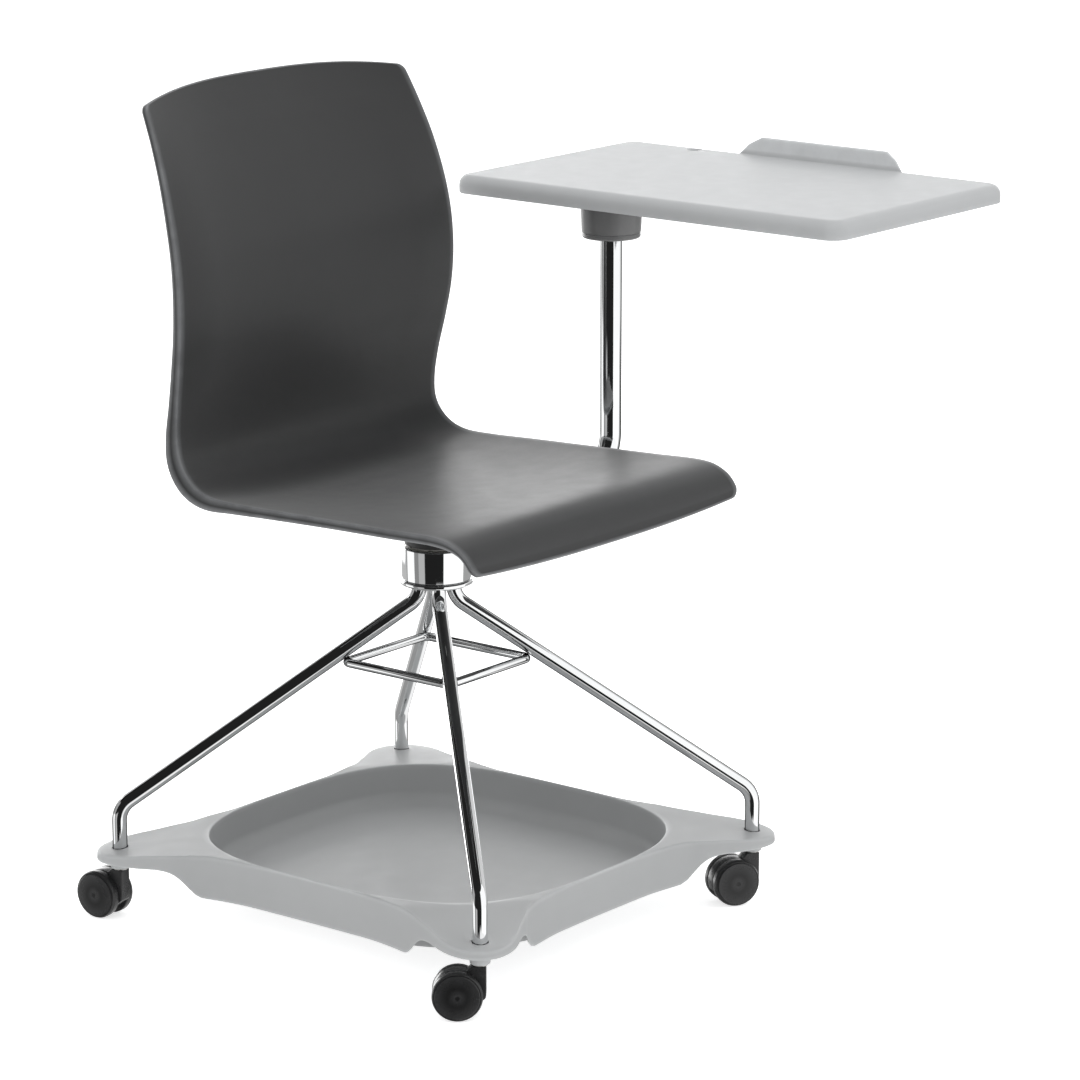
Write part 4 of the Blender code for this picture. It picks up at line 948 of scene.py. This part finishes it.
make_tablet()
post = Matrix.Translation((POST_X, POST_Y, 0))
flange_z = TAB_Z[1] - TAB_PLATE_T - GAP
profile = soften(
    [
        (0, flange_z), (0.0460, flange_z), (0.0460, flange_z - 0.0040), (0.0358, flange_z - 0.0040), (0.0353, TAB_Z[0]),
        (0.0334, HOUSING_Z + 0.0063), (0.0152, HOUSING_Z + 0.0063), (0.0152, POST_TOP_Z + 0.0022), (0, POST_TOP_Z + 0.0022),
    ],
    [0, 0.0006, 0.0008, 0.0025, 0.02, 0.0007, 0.0005, 0.0004, 0],
    5,
)
holes = []
for n in range(4):
    a = math.radians(45 + 90 * n)
    hole = lathe([(0, flange_z - 0.01), (0.0021, flange_z - 0.01), (0.0021, flange_z + 0.01), (0, flange_z + 0.01)], 24)
    hole.points = [(x + POST_X + 0.0404 * math.cos(a), y + POST_Y + 0.0404 * math.sin(a), z) for x, y, z in hole.points]
    holes.append((hole, "DIFFERENCE"))
piece("pivot_cup", lathe(profile, 96), "tablet", "housing", ["pivot_housing"], shape=post, cuts=holes)
profile = soften(
    [(0.0327, HOUSING_Z + 0.0060), (0.0331, HOUSING_Z + 0.0018), (0.0316, HOUSING_Z), (TUBE_R + 0.0007, HOUSING_Z), (TUBE_R + 0.0007, HOUSING_Z + 0.0060)],
    [0.0004, 0.0012, 0.0010, 0.0006, 0.0003],
    5,
    closed=True,
)
piece("pivot_lower_collar", lathe(profile, 96, closed=True), "tablet", "housing", ["pivot_collar"], shape=post)

# ---------------------------------------------------------------- CAD pieces that stay
for name, obj in frame["nodes"].items():
    if obj.hide_render:
        continue
    if name in ("seat_plate", "spindle_flange"):
        finish = "paint"
    elif name == "post_plug":
        finish = "black"
    elif "bush" in name or "washer" in name:
        finish = "nylon"
    else:
        finish = "steel"
    obj.data.materials.clear()
    obj.data.materials.append(MAT[finish])

# ---------------------------------------------------------------- camera
AZ, EL, DISTANCE = math.radians(-51.7401), math.radians(13.9112), 4.6316
BACK = Vector((math.sin(AZ) * math.cos(EL), -math.cos(AZ) * math.cos(EL), math.sin(EL)))
RIGHT = Vector((math.cos(AZ), math.sin(AZ), 0))
UP = RIGHT.cross(-BACK)
target = RIGHT * 0.1108 + Vector((OFF.x, OFF.y, 0.4125 + OFF.z))
eye = target + BACK * DISTANCE
camera_data = bpy.data.cameras.new("camera")
camera_data.sensor_width, camera_data.lens = 36.0, 144.463
camera_data.clip_start, camera_data.clip_end = 0.05, 200.0
camera = bpy.data.objects.new("camera", camera_data)
camera.matrix_world = Matrix(((RIGHT.x, UP.x, BACK.x, eye.x), (RIGHT.y, UP.y, BACK.y, eye.y), (RIGHT.z, UP.z, BACK.z, eye.z), (0, 0, 0, 1)))
bpy.context.scene.collection.objects.link(camera)
bpy.context.scene.camera = camera

# ---------------------------------------------------------------- floor
build = Build()
half, cells = 30.0, 12
grid = [build.ring([(half * (2 * i / cells - 1), half * (2 * j / cells - 1), -0.0004) for i in range(cells + 1)]) for j in range(cells + 1)]
build.bands(grid, closed=False)
mesh = bpy.data.meshes.new("studio_floor")
mesh.from_pydata(build.points, [], build.faces)
floor = bpy.data.objects.new("studio_floor", mesh)
bpy.context.scene.collection.objects.link(floor)
made = bpy.data.materials.new("studio_floor_white")
n = Nodes(made)
at = n.add("ShaderNodeTexCoord").outputs["Object"]
tone = n.mix(n.spread(n.noise(at, 3.0, 3.0), 0.3, 0.7), rgb(0.93), rgb(0.95))
shader = n.add("ShaderNodeBsdfDiffuse", {"Color": tone, "Roughness": 0.3})
seen_floor = n.add("ShaderNodeLightPath").outputs["Is Camera Ray"]
lift = n.add("ShaderNodeEmission", {"Color": tone, "Strength": n.math("ADD", n.math("MULTIPLY", seen_floor, 0.40), 0.30)})
both = n.add("ShaderNodeAddShader", {0: shader.outputs[0], 1: lift.outputs[0]})
n.add("ShaderNodeOutputMaterial", {"Surface": both.outputs[0]})
floor.data.materials.append(made)
floor.visible_glossy = False

# ---------------------------------------------------------------- studio light
world = bpy.data.worlds.new("studio")
bpy.context.scene.world = world
n = Nodes(world)
direction = n.add("ShaderNodeTexCoord").outputs["Generated"]
flat_back = Vector((math.sin(AZ), -math.cos(AZ), 0))
along = n.add("ShaderNodeVectorMath", {0: direction, 1: tuple(flat_back)}, operation="DOT_PRODUCT").outputs["Value"]
aside = n.add("ShaderNodeVectorMath", {0: direction, 1: tuple(RIGHT)}, operation="DOT_PRODUCT").outputs["Value"]
angle = n.math("MULTIPLY", n.math("ARCTAN2", aside, along), 180 / math.pi)
height = n.add("ShaderNodeSeparateXYZ", {0: direction}).outputs["Z"]
elevation = n.math("MULTIPLY", n.math("ARCSINE", height), 180 / math.pi)


def window(value, low, high, soft=3.0):
    """1 between low and high degrees, with soft edges."""
    up = n.add("ShaderNodeMapRange", {"Value": value, "From Min": low - soft / 2, "From Max": low + soft / 2, "To Min": 0.0, "To Max": 1.0}, interpolation_type="SMOOTHSTEP").outputs[0]
    down = n.add("ShaderNodeMapRange", {"Value": value, "From Min": high - soft / 2, "From Max": high + soft / 2, "To Min": 1.0, "To Max": 0.0}, interpolation_type="SMOOTHSTEP").outputs[0]
    return n.math("MULTIPLY", up, down)


# strength, azimuth from the camera's side (+ is the camera's right), elevation
BANKS = (
    # what upright faces show: the post, the hub cover and the feet of the legs
    (0.55, -181, -115, -27, -2),
    (1.20, -112, -77, -27, -2),
    (0.28, -77, -61, -27, -2),
    (0.50, -61, -38, -27, -2),
    (1.25, 25, 103, -27, -2),
    (0.40, 103, 181, -27, -2),
    # what sloping faces show: the right and the front of the legs, then the floor
    (0.40, -112, -77, -6, 26),
    (1.12, 25, 112, -6, 60),
    (0.70, 110, 153, -6, 46),
    (1.00, 0, 181, -91, -24),
    (0.32, -181, 0, -91, -27),
    # low behind, for the sheen on the level faces
    (3.60, -181, -126, -13, 26),
    (2.00, 150, 181, -13, 22),
    (1.10, 150, 181, 20, 46),
)
total = None
for strength, a0, a1, e0, e1 in BANKS:
    part = n.math("MULTIPLY", n.math("MULTIPLY", window(angle, a0, a1), window(elevation, e0, e1, 5.0)), strength)
    total = part if total is None else n.math("MAXIMUM", total, part)
mirror = n.math("MAXIMUM", total, 0.015)
behind = n.math("MULTIPLY", n.spread(along, 0.6, -0.8, 0.34, 0.85), n.spread(aside, -0.8, 0.8, 0.72, 1.28))
ambient = n.math("ADD", behind, n.spread(height, 0.15, 1.0, 0.0, 0.55))
light_path = n.add("ShaderNodeLightPath")
soft = n.add("ShaderNodeBackground", {"Color": (0.985, 0.993, 1.0, 1), "Strength": ambient})
shine = n.add("ShaderNodeBackground", {"Color": (1, 1, 1, 1), "Strength": mirror})
seen = n.add("ShaderNodeBackground", {"Color": (1, 1, 1, 1), "Strength": 1.0})
first = n.add("ShaderNodeMixShader", {0: light_path.outputs["Is Glossy Ray"], 1: soft.outputs[0], 2: shine.outputs[0]})
second = n.add("ShaderNodeMixShader", {0: light_path.outputs["Is Camera Ray"], 1: first.outputs[0], 2: seen.outputs[0]})
n.add("ShaderNodeOutputWorld", {"Surface": second.outputs[0]})


def area_light(name, where, size, power, aim=(0, 0, 0.4)):
    data = bpy.data.lights.new(name, "AREA")
    data.shape, data.size, data.size_y, data.energy = "RECTANGLE", size[0], size[1], power
    light = bpy.data.objects.new(name, data)
    light.location = where
    light.rotation_mode = "QUATERNION"
    light.rotation_quaternion = (Vector(aim) + Vector((OFF.x, OFF.y, 0)) - Vector(where)).to_track_quat("-Z", "Y")
    light.visible_glossy = False
    bpy.context.scene.collection.objects.link(light)
    return light


here = Vector((OFF.x, OFF.y, 0))
area_light("overhead_bank", here + Vector((0, 0, 3.2)) + RIGHT * 0.9, (3.0, 3.0), 25.0)
area_light("front_fill", here + flat_back * 2.6 - RIGHT * 1.6 + Vector((0, 0, 1.7)), (2.0, 1.4), 15.0, aim=(0.25, -0.05, 0.72))
area_light("rear_bank", here - flat_back * 3.0 + Vector((0, 0, 1.5)), (3.0, 1.6), 12.0)

bpy.context.scene.view_settings.view_transform = "Standard"
bpy.context.scene.view_settings.look = "None"
